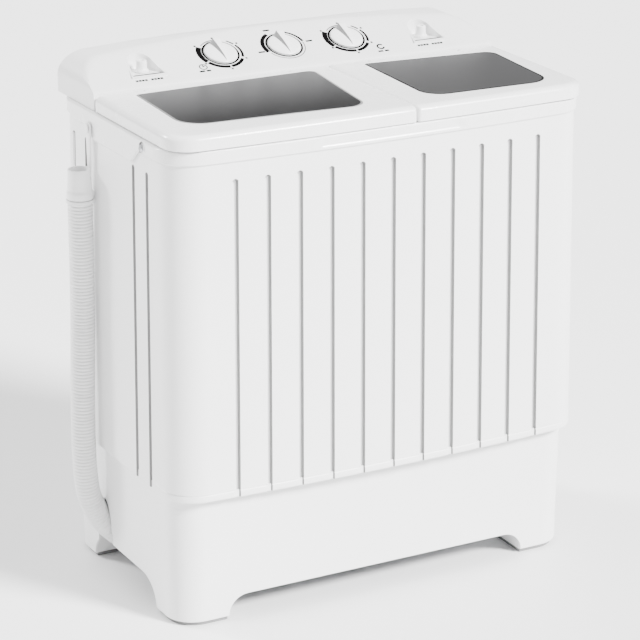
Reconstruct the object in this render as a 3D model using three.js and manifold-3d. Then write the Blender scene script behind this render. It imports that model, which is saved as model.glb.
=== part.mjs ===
// Compact twin tub washer: a wash tub with a pulsator on the left, a spin basket on the right,
// a deck with hinged lids, and an inclined control panel behind them.
// Millimetres, +Z up, +X to the right, front facing -Y, origin on the floor under the middle.
import * as THREE from "three";
import { mergeVertices } from "three/addons/utils/BufferGeometryUtils.js";
import { ConvexGeometry } from "three/addons/geometries/ConvexGeometry.js";
import Module from "manifold-3d";

const wasm = await Module();
wasm.setup();

// ---- driving dimensions -------------------------------------------------------------------
const GAP = 0.4; // clearance between pieces that touch or nest
const WALL = 3.5; // moulded plastic wall

const CABINET = { halfX: 300, front: -174, back: 177, bottom: 181, top: 635, corner: 45 };
const DRAFT = 5; // extra half-width and half-depth at the cabinet's lower edge
const SEAM_Z = 624; // lower edge of the deck's skirt, on the front
const DECK_Z = 642; // top face of the deck
const BOW = 8; // how far the cabinet, deck and lids bulge forward at the middle
const DECK = { halfX: 304, front: -177, back: 180, corner: 49 };
const GROOVE = { pitch: 43.9, middle: 3, count: 11, width: 7, depth: 3, top: 601 };
const SIDE_GROOVES = [-98, -58, 88, 127];

const BASE = { halfX: 297, front: -160, back: 174, bottom: 6, top: 192, corner: 40 };
const FOOT = { inset: 3, height: 5.6 };

const PANEL_ANGLE = THREE.MathUtils.degToRad(24);
const PANEL = { front: 62.5, frontTop: 665, back: 180, top: 704.7, bottom: DECK_Z + GAP, halfX: 299 };
const PANEL_ENDS = { crown: 705, shoulder: 697, shoulderIn: 34, foot: 670, round: 693 };
const KNOB = { spacing: 95, along: 50.5, radius: 22.5 };
const INLET = { x: 211, y: 107, floor: 674, frontHalf: 23, arch: 18.5, front: 82, height: 16 };

const LID = { bottom: DECK_Z + 1.2, top: 665, back: 50, front: -177, split: 37.5, wall: 3, corner: 34 };
const HINGE = { y: LID.back, z: (LID.bottom + LID.top) / 2, radius: (LID.top - LID.bottom) / 2 };

const WASH = { left: -278, right: 14, front: -160, back: 92, floor: 262, top: 637.5, corner: 45 };
const PULSATOR = { x: -132, y: -50, radius: 98 };
const SPIN = { x: 163, y: -48, tubHalfX: 119, tubHalfY: 112, floor: 252, basket: 97 };
const WASH_MOTOR = { x: -60, y: 100, radius: 52 };
const BELT_Z = 168; // middle of the belt and both pulleys
const BRACKET_Z = 62; // lower face of the motor bracket

const HOSE = { y: 66, radius: 16.5, low: 19, endX: -188, topX: -321 };
const CUFF = { bottom: 528, top: 568 };
const PEG_Z = 620;
const DRAIN = { x: -162, y: HOSE.y }; // the drain valve's axis

// ---- materials ----------------------------------------------------------------------------
const finish = (color, roughness, metalness = 0) =>
  new THREE.MeshStandardMaterial({ color, roughness, metalness });
const WHITE = finish(0xf4f4f4, 0.35);
const WHITE_SATIN = finish(0xececec, 0.5);
const WINDOW = finish(0x55575a, 0.12);
const HOSE_GREY = finish(0xe2e2e2, 0.6);
const TUB_WHITE = finish(0xe9eef2, 0.4);
const BLUE_GREY = finish(0xb9c4ce, 0.4);
const STEEL = finish(0xb8bcc0, 0.35, 0.9);
const PAINTED = finish(0x3b3e42, 0.5, 0.3);
const RUBBER = finish(0x26282a, 0.8);

// ---- solids -------------------------------------------------------------------------------
function toSolid(geometry) {
  const bare = geometry.index ? geometry.toNonIndexed() : geometry.clone();
  for (const name of Object.keys(bare.attributes)) if (name !== "position") bare.deleteAttribute(name);
  const merged = mergeVertices(bare, 1e-4);
  const triVerts = new Uint32Array(merged.index.array);
  const build = () =>
    new wasm.Manifold(
      new wasm.Mesh({ numProp: 3, vertProperties: merged.attributes.position.array, triVerts }),
    );
  const solid = build();
  if (solid.volume() > 0) return solid;
  for (let i = 0; i < triVerts.length; i += 3) {
    [triVerts[i + 1], triVerts[i + 2]] = [triVerts[i + 2], triVerts[i + 1]];
  }
  return build();
}

function toGeometry(solid) {
  const mesh = solid.getMesh();
  const position = new Float32Array(mesh.numVert * 3);
  for (let i = 0; i < mesh.numVert; i++) {
    position.set(mesh.vertProperties.subarray(i * mesh.numProp, i * mesh.numProp + 3), i * 3);
  }
  const geometry = new THREE.BufferGeometry();
  geometry.setAttribute("position", new THREE.BufferAttribute(position, 3));
  geometry.setIndex(new THREE.BufferAttribute(mesh.triVerts, 1));
  return geometry;
}

const cut = (geometry, ...tools) =>
  toGeometry(tools.reduce((solid, tool) => solid.subtract(toSolid(tool)), toSolid(geometry)));
const join = (geometry, ...others) =>
  toGeometry(others.reduce((solid, other) => solid.add(toSolid(other)), toSolid(geometry)));
const common = (a, b) => toGeometry(toSolid(a).intersect(toSolid(b)));

function box(x0, x1, y0, y1, z0, z1) {
  const geometry = new THREE.BoxGeometry(x1 - x0, y1 - y0, z1 - z0);
  return geometry.translate((x0 + x1) / 2, (y0 + y1) / 2, (z0 + z1) / 2);
}

// An upright cylinder, or one along X or Y, between two stations on its axis.
function rod(radius, from, to, { x = 0, y = 0, z = 0, axis = "z", sides = 16 } = {}) {
  const geometry = new THREE.CylinderGeometry(radius, radius, to - from, sides);
  geometry.translate(0, (from + to) / 2, 0);
  if (axis === "z") geometry.rotateX(Math.PI / 2);
  if (axis === "x") geometry.rotateZ(-Math.PI / 2);
  return geometry.translate(x, y, z);
}

// A turned piece round an upright axis, from [radius, height] pairs.
function turned(profile, { x = 0, y = 0, z = 0, sides = 20 } = {}) {
  const points = profile.map(([radius, height]) => new THREE.Vector2(radius, height));
  return new THREE.LatheGeometry(points, sides).rotateX(Math.PI / 2).translate(x, y, z);
}

// A ring's closed profile: outer and inner radius between two heights.
const ringProfile = (outer, inner, low, high) => [
  [inner, low],
  [outer, low],
  [outer, high],
  [inner, high],
  [inner, low],
];

// A rectangle with round corners, whose front edge bulges forward by `bow` at the middle.
function roundedRect(x0, x1, y0, y1, radius, bow = 0) {
  const shape = new THREE.Shape();
  shape.moveTo(x0 + radius, y0);
  if (bow) shape.quadraticCurveTo((x0 + x1) / 2, y0 - 2 * bow, x1 - radius, y0);
  else shape.lineTo(x1 - radius, y0);
  shape.absarc(x1 - radius, y0 + radius, radius, -Math.PI / 2, 0);
  shape.absarc(x1 - radius, y1 - radius, radius, 0, Math.PI / 2);
  shape.absarc(x0 + radius, y1 - radius, radius, Math.PI / 2, Math.PI);
  shape.absarc(x0 + radius, y0 + radius, radius, Math.PI, 1.5 * Math.PI);
  return shape;
}

function prism(shape, z0, z1, curveSegments = 4) {
  const geometry = new THREE.ExtrudeGeometry(shape, { depth: z1 - z0, bevelEnabled: false, curveSegments });
  return geometry.translate(0, 0, z0);
}

// A side profile of [y, z] points swept along X.
function sweptX(points, x0, x1) {
  const shape = new THREE.Shape(points.map(([y, z]) => new THREE.Vector2(y, z)));
  const geometry = new THREE.ExtrudeGeometry(shape, { depth: x1 - x0, bevelEnabled: false });
  // The shape's x runs along Y, its y along Z, and its depth along X.
  geometry.applyMatrix4(new THREE.Matrix4().makeBasis(
    new THREE.Vector3(0, 1, 0), new THREE.Vector3(0, 0, 1), new THREE.Vector3(1, 0, 0)));
  return geometry.translate(x0, 0, 0);
}

// Widens a shape linearly from `fixedZ` down to `wideZ`, as a mould's draft does.
function drafted(geometry, halfX, halfY, fixedZ, wideZ, extra) {
  const position = geometry.getAttribute("position");
  for (let i = 0; i < position.count; i++) {
    const share = (fixedZ - position.getZ(i)) / (fixedZ - wideZ);
    position.setX(i, position.getX(i) * (1 + (share * extra) / halfX));
    position.setY(i, position.getY(i) * (1 + (share * extra) / halfY));
  }
  return geometry;
}

// A round tube or cable along a curve.
function along(curve, radius, steps, sides) {
  const section = new THREE.Shape();
  for (let i = 0; i < sides; i++) {
    const angle = (2 * Math.PI * i) / sides;
    const point = [radius * Math.cos(angle), radius * Math.sin(angle)];
    if (i === 0) section.moveTo(...point);
    else section.lineTo(...point);
  }
  return new THREE.ExtrudeGeometry(section, { steps, extrudePath: curve });
}

const copies = (count, make) => Array.from({ length: count }, (_, i) => make(i));
const around = (geometry, angle, x, y) =>
  geometry.translate(-x, -y, 0).rotateZ(angle).translate(x, y, 0);

// ---- assembly -----------------------------------------------------------------------------
const washer = new THREE.Group();
washer.name = "twin_tub_washer";

function add(name, geometry, material, parent = washer) {
  const mesh = new THREE.Mesh(toGeometry(toSolid(geometry)), material);
  mesh.name = name;
  parent.add(mesh);
  return mesh;
}

// ---- casing -------------------------------------------------------------------------------
function cabinetBlock(inset, z0, z1) {
  const { halfX, front, back, top, bottom, corner } = CABINET;
  const outline = roundedRect(
    -halfX + inset, halfX - inset, front + inset, back - inset, corner - inset, BOW);
  return drafted(prism(outline, z0, z1), halfX, back, top, bottom, DRAFT);
}

// Each cutter is leaned like the wall it cuts, so a groove has the same depth all the way down.
function grooveCutters() {
  const { pitch, middle, count, width, depth, top } = GROOVE;
  const { halfX, front, back, corner } = CABINET;
  const bottom = CABINET.bottom - 5;
  const frontCutters = copies(count, (i) => {
    const x = middle + (i - (count - 1) / 2) * pitch;
    const wall = front - BOW * (1 - (x / (halfX - corner)) ** 2);
    const cutter = box(x - width / 2, x + width / 2, wall - 10, wall + depth, bottom, top);
    return drafted(cutter, halfX, back, CABINET.top, CABINET.bottom, DRAFT);
  });
  const sides = SIDE_GROOVES.flatMap((y) => [-1, 1].map((side) => {
    const x = side > 0 ? [halfX - depth, halfX + 10] : [-halfX - 10, -halfX + depth];
    const cutter = box(...x, y - width / 2, y + width / 2, bottom, top);
    return drafted(cutter, halfX, Infinity, CABINET.top, CABINET.bottom, DRAFT);
  }));
  return [...frontCutters, ...sides];
}

function makeCasing() {
  const { bottom, top } = CABINET;
  const rearWindow = box(-250, 250, 150, 200, 206, 596);
  // The wall ends under the deck's skirt; a thinner neck goes on up inside it.
  const shell = cut(
    join(cabinetBlock(0, bottom, SEAM_Z - GAP), cabinetBlock(WALL, SEAM_Z - 6, top)),
    cabinetBlock(WALL + 2, bottom - 5, top + 5),
    ...grooveCutters(),
    rearWindow,
  );
  add("cabinet", shell, WHITE);

  const coverFrame = join(
    box(-262, 262, 182.8, 185.8, 196, 606),
    ...[-180, 0, 180].map((x) => box(x - 6, x + 6, 184, 188, 220, 590)),
  );
  const louvres = copies(6, (i) => box(-110, 110, 170, 195, 240 + 20 * i, 248 + 20 * i));
  add("rear_cover", cut(coverFrame, ...louvres,
    rod(9, 170, 195, { axis: "y", x: -200, z: 230, sides: 12 })), WHITE_SATIN);
  const grommet = [[3.5, 0], [12, 0], [12, 1.5], [8.4, 1.5], [8.4, 7], [3.5, 7], [3.5, 0]];
  const ring = turned(grommet, { sides: 12 }).rotateX(Math.PI / 2);
  add("cord_grommet", ring.translate(-200, 187.6, 230), RUBBER);
}

// ---- base ---------------------------------------------------------------------------------
// The opening under one wall of the base: flat on top, with a round fillet into each leg.
function archShape(x0, x1, top, fillet) {
  const shape = new THREE.Shape();
  shape.moveTo(x0 - 4, -20);
  shape.lineTo(x1 + 4, -20);
  shape.lineTo(x1, 0);
  shape.bezierCurveTo(x1, top * 0.7, x1 - fillet * 0.3, top, x1 - fillet, top);
  shape.lineTo(x0 + fillet, top);
  shape.bezierCurveTo(x0 + fillet * 0.3, top, x0, top * 0.7, x0, 0);
  shape.closePath();
  return shape;
}

function baseBlock(inset, z0, z1) {
  const { halfX, front, back, top, bottom, corner } = BASE;
  const outline = roundedRect(-halfX + inset, halfX - inset, front + inset, back - inset, corner - inset);
  return drafted(prism(outline, z0, z1), halfX, back, bottom, top, 2);
}

// The four hollow corners of the base, filled up to the motor bracket: [x0, x1, y0, y1] of each.
const LEGS = {
  front_left: [-BASE.halfX, -222, BASE.front, -91],
  front_right: [222, BASE.halfX, BASE.front, -91],
  rear_left: [-BASE.halfX, -222, 106, BASE.back],
  rear_right: [222, BASE.halfX, 106, BASE.back],
};

function legBlock([x0, x1, y0, y1], inset, z0, z1) {
  return common(baseBlock(1 + inset, z0, z1), box(x0, x1, y0, y1, z0, z1));
}

function makeBase() {
  const { halfX, front, back, bottom, top } = BASE;
  const acrossFront = prism(archShape(-224, 224, 33, 28), front - 30, back + 30, 3).rotateX(Math.PI / 2)
    .scale(1, -1, 1);
  const acrossSides = prism(archShape(-92, 108, 42, 42), -halfX - 30, halfX + 30, 4).rotateX(Math.PI / 2)
    .scale(1, -1, 1).rotateZ(Math.PI / 2);
  // The hose leaves through a round notch that opens into the arch.
  const round = rod(24, -halfX - 20, -halfX + 20, { axis: "x", y: HOSE.y + 2, z: 52, sides: 12 });
  // Above the notch the wall is relieved round the rising hose.
  const relief = common(along(hoseCurve(), HOSE.radius + 1.6, 22, 8),
    box(-halfX - 20, -halfX + 30, 0, 140, 40, 140));
  const notch = join(round, relief);
  const skirt = cut(baseBlock(0, bottom, top), baseBlock(WALL, bottom - 5, top + 5),
    acrossFront, acrossSides, notch);
  const legs = Object.values(LEGS).map((leg) => legBlock(leg, 0, bottom, BRACKET_Z - GAP));
  add("base", join(skirt, ...legs), WHITE);
  for (const [corner, leg] of Object.entries(LEGS)) {
    add(`foot_${corner}`, legBlock(leg, FOOT.inset, 0, FOOT.height), WHITE_SATIN);
  }
}

// ---- deck ---------------------------------------------------------------------------------
const HINGE_LUGS = { wash: [-236, -24], spin: [96, 236] };
const SCREW = { y: -94, z: 632 };

function makeDeck() {
  const { halfX, front, back, corner } = DECK;
  const outline = (inset) =>
    roundedRect(-halfX + inset, halfX - inset, front + inset, back - inset, corner - inset, BOW);
  const tabBottom = SEAM_Z - 19;
  const sideTab = sweptX([[-78, SEAM_Z], [-57, tabBottom], [57, tabBottom], [84, SEAM_Z]], -halfX, halfX);
  const sides = common(sideTab, prism(outline(0), tabBottom - 5, SEAM_Z, 5));
  const room = prism(outline(3), tabBottom - 15, DECK_Z - WALL, 5);
  const skirt = cut(join(prism(outline(0), SEAM_Z, DECK_Z, 5), sides), room);
  const washOpening = prism(roundedRect(-264, 4, -158, 40, 40), 600, 700);
  const spinOpening = prism(roundedRect(SPIN.x - 96, SPIN.x + 96, -150, 40, 80), 600, 700);
  const lugPlaces = [...HINGE_LUGS.wash, ...HINGE_LUGS.spin];
  const lugs = lugPlaces.map((x) => join(
    box(x - 4, x + 4, HINGE.y - 5.5, HINGE.y + 5.5, DECK_Z - 2, HINGE.z),
    rod(5.5, x - 4, x + 4, { axis: "x", y: HINGE.y, z: HINGE.z, sides: 10 }),
  ));
  const onAxis = { axis: "x", y: HINGE.y, z: HINGE.z };
  const bores = lugPlaces.map((x) => rod(3.4, x - 10, x + 10, { ...onAxis, sides: 8 }));
  // A shallow finger recess follows the bulge of the front.
  const grip = cut(box(-104, 104, front - BOW - 10, front + 30, 629, 639.5),
    prism(outline(1.6), 600, 700, 5));
  add("top_deck", cut(join(skirt, ...lugs), washOpening, spinOpening, grip, ...bores), WHITE);

  const peg = [[0, 0], [4, 0], [4, 4.6], [6.5, 4.6], [6.5, 6.6], [0, 6.6]];
  const screw = [[0, 0], [6.5, 0], [6.5, 3], [3.6, 3], [3.6, 4.4], [0, 4.4]];
  const onSide = (name, profile, side, y, z, material) => {
    const shape = turned(profile, { sides: 10 }).rotateY((side * Math.PI) / 2);
    add(name, shape.translate(side * (halfX + GAP), y, z), material);
  };
  onSide("side_screw_left_front", screw, -1, SCREW.y, SCREW.z, STEEL);
  onSide("side_screw_right_front", screw, 1, SCREW.y, SCREW.z, STEEL);
  onSide("side_screw_right_rear", peg, 1, HOSE.y, PEG_Z, WHITE_SATIN);
  onSide("hose_peg", peg, -1, HOSE.y, PEG_Z, WHITE_SATIN);
}

// ---- lids ---------------------------------------------------------------------------------
function makeLid(name, x0, x1, window, lugs) {
  const { bottom, top, front, wall } = LID;
  const { corner } = LID;
  const rounded = (inset) => {
    // Only the outer front corner is round; the side next to the other lid is nearly square.
    const shape = new THREE.Shape();
    const [a, b, f, k] = [x0 + inset, x1 - inset, front + inset, HINGE.y];
    const left = name === "wash" ? corner : 5;
    const right = name === "wash" ? 5 : corner;
    const bulge = (x) => BOW * (1 - (x / CABINET.halfX) ** 2);
    shape.moveTo(a, k);
    shape.lineTo(a, f - bulge(a) + left);
    shape.quadraticCurveTo(a, f - bulge(a + left), a + left, f - bulge(a + left));
    for (const share of [0.2, 0.4, 0.6, 0.8, 1]) {
      const x = a + left + (b - right - a - left) * share;
      shape.lineTo(x, f - bulge(x));
    }
    shape.quadraticCurveTo(b, f - bulge(b - right), b, f - bulge(b) + right);
    shape.lineTo(b, k);
    return shape;
  };
  const chamfer = 4;
  const crown = join(prism(rounded(0), bottom, top - chamfer), prism(rounded(chamfer), bottom, top));
  const barrel = rod(HINGE.radius, x0, x1, { axis: "x", y: HINGE.y, z: HINGE.z, sides: 16 });
  const hollow = cut(prism(rounded(wall), bottom - 5, top - wall - 1.6),
    box(x0, x1, HINGE.y - 9, HINGE.y + 9, 0, 900));
  const ledge = 7;
  const [wx0, wx1, wy0, wy1, wr] = window;
  const opening = prism(
    roundedRect(wx0 + ledge, wx1 - ledge, wy0 + ledge, wy1 - ledge, wr - ledge + 2), bottom - 5, top + 5);
  const rabbet = prism(roundedRect(wx0, wx1, wy0, wy1, wr), top - 3, top + 5);
  // The slot is open below and behind the axis, so the barrel clears the lug all the way round its swing.
  const lugSlots = lugs.flatMap((x) => [
    box(x - 4.6, x + 4.6, HINGE.y - 9, HINGE.y + 20, bottom - 5, HINGE.z),
    box(x - 4.6, x + 4.6, HINGE.y - 1, HINGE.y + 20, HINGE.z - 1, top + 5),
    rod(6.8, x - 4.6, x + 4.6, { axis: "x", y: HINGE.y, z: HINGE.z, sides: 10 }),
  ]);
  const onAxis = { axis: "x", y: HINGE.y, z: HINGE.z, sides: 8 };
  const bore = rod(3.4, lugs[0] - 15, lugs[1] + 15, onAxis);
  add(`${name}_lid`, cut(join(crown, barrel), hollow, opening, rabbet, ...lugSlots, bore), WHITE);
  const pane = roundedRect(wx0 + GAP, wx1 - GAP, wy0 + GAP, wy1 - GAP, wr - GAP);
  add(`${name}_lid_window`, prism(pane, top - 3 + GAP, top), WINDOW);
  add(`${name}_hinge_rod`, rod(2.9, lugs[0] - 14, lugs[1] + 14, onAxis), STEEL);
}

// ---- control panel --------------------------------------------------------------------------
// Local frame of the sloping face: x along the machine, y up the slope, z out of the face.
const face = new THREE.Group();
face.position.set(0, PANEL.front, PANEL.frontTop);
face.rotation.x = PANEL_ANGLE;
washer.add(face);

function inFace(geometry) {
  face.updateMatrixWorld(true);
  return geometry.applyMatrix4(face.matrixWorld);
}

const knobX = { wash: -KNOB.spacing, selector: 0, spin: KNOB.spacing };

function makePanel() {
  const { front, frontTop, back, top, bottom, halfX } = PANEL;
  const slopeEnd = front + (top - frontTop) / Math.tan(PANEL_ANGLE);
  const profile = (inset) => [
    [front + inset, bottom - (inset ? 5 : 0)],
    [back - inset, bottom - (inset ? 5 : 0)],
    [back - inset, top - 16 - inset],
    [back - 5 - inset, top - 5 - inset],
    [slopeEnd + 6, top - inset],
    [slopeEnd, top - 0.8 - inset],
    [front + inset, frontTop - inset - 0.3],
  ];
  const crowned = (inset) => {
    const side = halfX - inset;
    const shape = new THREE.Shape();
    const { crown, shoulder, shoulderIn, foot, round } = PANEL_ENDS;
    shape.moveTo(-side, 600);
    shape.lineTo(-side, foot - inset);
    shape.quadraticCurveTo(-side, round - inset, -halfX + shoulderIn, shoulder - inset);
    shape.quadraticCurveTo(0, 2 * crown - shoulder - inset, halfX - shoulderIn, shoulder - inset);
    shape.quadraticCurveTo(side, round - inset, side, foot - inset);
    shape.lineTo(side, 600);
    return prism(shape, -back - 20, 0, 6).rotateX(Math.PI / 2);
  };
  const body = common(sweptX(profile(0), -halfX, halfX), crowned(0));
  const hollow = common(sweptX(profile(WALL), -halfX, halfX), crowned(WALL));

  const pocketPlan = (x) => {
    const shape = new THREE.Shape();
    shape.moveTo(x - INLET.frontHalf, INLET.front);
    shape.lineTo(x + INLET.frontHalf, INLET.front);
    shape.lineTo(x + INLET.arch, INLET.y + 1);
    shape.absarc(x, INLET.y + 1, INLET.arch, 0, Math.PI);
    shape.closePath();
    return shape;
  };
  const pocket = (x) => prism(pocketPlan(x), INLET.floor, 720, 5);
  const pocketWall = (x) => common(
    prism(roundedRect(x - 27, x + 27, INLET.front - 4, INLET.y + 25, 12), INLET.floor - WALL, 710, 2),
    sweptX(profile(0), -halfX, halfX));
  const pockets = [-INLET.x, INLET.x];
  const shaftHoles = Object.values(knobX).map((x) =>
    inFace(rod(5, -10, 10, { x, y: KNOB.along, sides: 10 })));
  const stems = pockets.map((x) => rod(6.2, INLET.floor - 10, INLET.floor + 2, { x, y: INLET.y, sides: 12 }));
  const shell = cut(body, hollow);
  const walled = join(shell, ...pockets.map(pocketWall));
  add("control_panel", cut(walled, ...pockets.map(pocket), ...shaftHoles, ...stems), WHITE);

  const { height } = INLET;
  const spigot = [[3.6, -14], [5.6, -14], [5.6, GAP], [9.5, GAP], [9.5, 3], [7.4, 4.5], [7.4, height - 2],
    [6.4, height], [3.6, height], [3.6, -14]];
  add("wash_water_inlet", turned(spigot, { x: -INLET.x, y: INLET.y, z: INLET.floor, sides: 12 }), WHITE);
  add("spin_water_inlet", turned(spigot, { x: INLET.x, y: INLET.y, z: INLET.floor, sides: 12 }), WHITE);
}

const GRIP = 12; // height of the knobs' grips off the face

// A round knob with a raised grip that is low and pointed at the front and high and wide at the back.
function knobGeometry(x) {
  const { radius, along: y } = KNOB;
  const disc = turned([[0, 1], [radius, 1], [radius, 2], [radius - 2.5, 4], [0, 5]], { sides: 16 });
  const rear = radius - 1;
  const grip = new ConvexGeometry([
    [0, -rear, 3.5], [-1.2, 2 - rear, 2], [1.2, 2 - rear, 2],
    [-7.5, rear - 4, 2], [7.5, rear - 4, 2], [-5, rear, 2], [5, rear, 2],
    [-2.4, rear - 4, GRIP], [2.4, rear - 4, GRIP], [-1.8, rear, GRIP - 1], [1.8, rear, GRIP - 1],
  ].map((p) => new THREE.Vector3(...p)));
  const stem = rod(3.1, -WALL - 6, 3, { sides: 8 });
  return join(disc, grip, stem).translate(x, y, 0);
}

function makeControls() {
  for (const [name, x] of Object.entries(knobX)) {
    const y = KNOB.along;
    const knob = name === "selector" ? "selector_knob" : `${name}_timer_knob`;
    const [halfWide, halfTall, deep] = name === "selector" ? [20, 14, 20] : [25, 18, 26];
    add(knob, knobGeometry(x), WHITE, face);
    const shaftRoom = rod(3.8, -WALL - 7, 2, { x, y, sides: 8 });
    const housing = box(x - halfWide, x + halfWide, y - halfTall, y + halfTall, -WALL - deep, -WALL - 1.2);
    add(name === "selector" ? "selector_switch" : `${name}_timer`, cut(housing, shaftRoom), BLUE_GREY, face);
  }
}

// ---- wash side ------------------------------------------------------------------------------
function makeWashTub() {
  const { left, right, front, back, floor, top, corner } = WASH;
  const shell = cut(
    prism(roundedRect(left, right, front, back, corner), floor - 3, top),
    prism(roundedRect(left + 2.6, right - 2.6, front + 2.6, back - 2.6, corner - 2.6), floor, top + 5),
    rod(9, floor - 10, floor + 10, { x: PULSATOR.x, y: PULSATOR.y, sides: 12 }),
    rod(14, floor - 10, floor + 10, { x: DRAIN.x, y: DRAIN.y, sides: 12 }),
  );
  const well = turned(ringProfile(PULSATOR.radius + 7, PULSATOR.radius + 3, floor - 1, floor + 9),
    { x: PULSATOR.x, y: PULSATOR.y, sides: 24 });
  add("wash_tub", join(shell, well), TUB_WHITE);

  const { x, y, radius } = PULSATOR;
  const dish = [[0, 5], [radius, 5], [radius, 9], [radius - 20, 12], [38, 16], [22, 24], [0, 26]];
  const disc = turned(dish, { sides: 20 });
  const vane = (i) => around(
    new ConvexGeometry([
      [24, -7, 8], [24, 7, 8], [radius - 8, -5, 8], [radius - 8, 5, 8],
      [26, -3, 24], [26, 3, 24], [radius - 30, -2, 26], [radius - 30, 2, 26],
    ].map((p) => new THREE.Vector3(...p))), (i * Math.PI) / 2, 0, 0);
  const boss = rod(16, 1, 8, { sides: 12 });
  const bore = rod(6.7, -6, 20, { sides: 12 });
  add("pulsator", cut(join(disc, boss, ...copies(4, vane)), bore).translate(x, y, floor), BLUE_GREY);
  add("pulsator_shaft", rod(6, 140, floor + 18, { x, y, sides: 12 }), STEEL);
  const under = floor - 3 - GAP;
  const sleeve = [[6.6, 192], [24, 192], [24, 240], [44, 246], [44, under], [6.6, under], [6.6, 192]];
  add("shaft_housing", turned(sleeve, { x, y, sides: 16 }), PAINTED);
  add("wash_seal", turned(ringProfile(8.4, 6.5, floor - 3, floor - 0.4), { x, y, sides: 12 }), RUBBER);

  // The lint filter hangs on the left wall and the overflow grille stands on the right one.
  const middle = (front + back) / 2;
  add("lint_filter", cut(box(left + 3, left + 12, middle - 34, middle + 34, 430, 560),
    box(left + 5, left + 20, middle - 28, middle + 28, 436, 548)), BLUE_GREY);
  const slots = copies(7, (i) =>
    box(right - 20, right + 10, middle - 25, middle + 25, 312 + 34 * i, 326 + 34 * i));
  const grille = box(right - 9, right - 3, middle - 31, middle + 31, 296, 560);
  add("overflow_grille", cut(grille, ...slots), TUB_WHITE);
}

// ---- belt drive -----------------------------------------------------------------------------
const BIG_PULLEY = 64; // radius under the belt
const SMALL_PULLEY = 19;

const pulleyProfile = (groove, bore) => [
  [bore, -9], [groove + 8, -9], [groove + 8, -7], [groove, -4.5], [groove, 4.5], [groove + 8, 7],
  [groove + 8, 9], [bore, 9], [bore, -9],
];

// The outline of a belt round two circles, offset outwards by `offset`.
function beltShape(offset) {
  const dx = WASH_MOTOR.x - PULSATOR.x;
  const dy = WASH_MOTOR.y - PULSATOR.y;
  const heading = Math.atan2(dy, dx);
  const spread = Math.acos((BIG_PULLEY - SMALL_PULLEY) / Math.hypot(dx, dy));
  const shape = new THREE.Shape();
  shape.absarc(PULSATOR.x, PULSATOR.y, BIG_PULLEY + offset, heading + spread, heading - spread + 2 * Math.PI);
  shape.absarc(WASH_MOTOR.x, WASH_MOTOR.y, SMALL_PULLEY + offset, heading - spread, heading + spread);
  shape.closePath();
  return shape;
}

function makeDrive() {
  const { x, y } = PULSATOR;
  add("driven_pulley", turned(pulleyProfile(BIG_PULLEY, 6.5), { x, y, z: BELT_Z, sides: 20 }), PAINTED);
  const loop = cut(prism(beltShape(6), BELT_Z - 4, BELT_Z + 4, 8),
    prism(beltShape(1), BELT_Z - 10, BELT_Z + 10, 8));
  add("drive_belt", loop, RUBBER);
  const motor = { x: WASH_MOTOR.x, y: WASH_MOTOR.y };
  add("motor_pulley", turned(pulleyProfile(SMALL_PULLEY, 5.6), { ...motor, z: BELT_Z, sides: 12 }), PAINTED);
  add("wash_motor_shaft", rod(5, 136, 182, { ...motor, sides: 12 }), STEEL);
  makeMotor("wash_motor", motor, WASH_MOTOR.radius, 132);
}

// An induction motor: stator stack between two end bells, on three legs that stand on the bracket.
function makeMotor(name, { x, y }, radius, top) {
  const low = BRACKET_Z + 16;
  const body = turned([[0, low], [radius - 12, low], [radius - 8, low + 8], [radius, low + 8],
    [radius, top - 10],
    [radius - 8, top - 10], [radius - 14, top], [12, top], [12, top + 3], [0, top + 3]], { x, y, sides: 16 });
  // The wash motor stands on the bracket itself, the spin motor on rubber dampers.
  const earLow = name === "wash_motor" ? BRACKET_Z + 3 + GAP : low + 8;
  const ears = copies(3, (i) => around(box(x + radius - 14, x + radius + 10, y - 8, y + 8, earLow, low + 13),
    (i * 2 * Math.PI) / 3 + Math.PI / 2, x, y));
  const room = rod(name === "wash_motor" ? 5.8 : 7.4, top - 6, top + 10, { x, y, sides: 12 });
  add(name, cut(join(body, ...ears), room), PAINTED);
}

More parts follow.
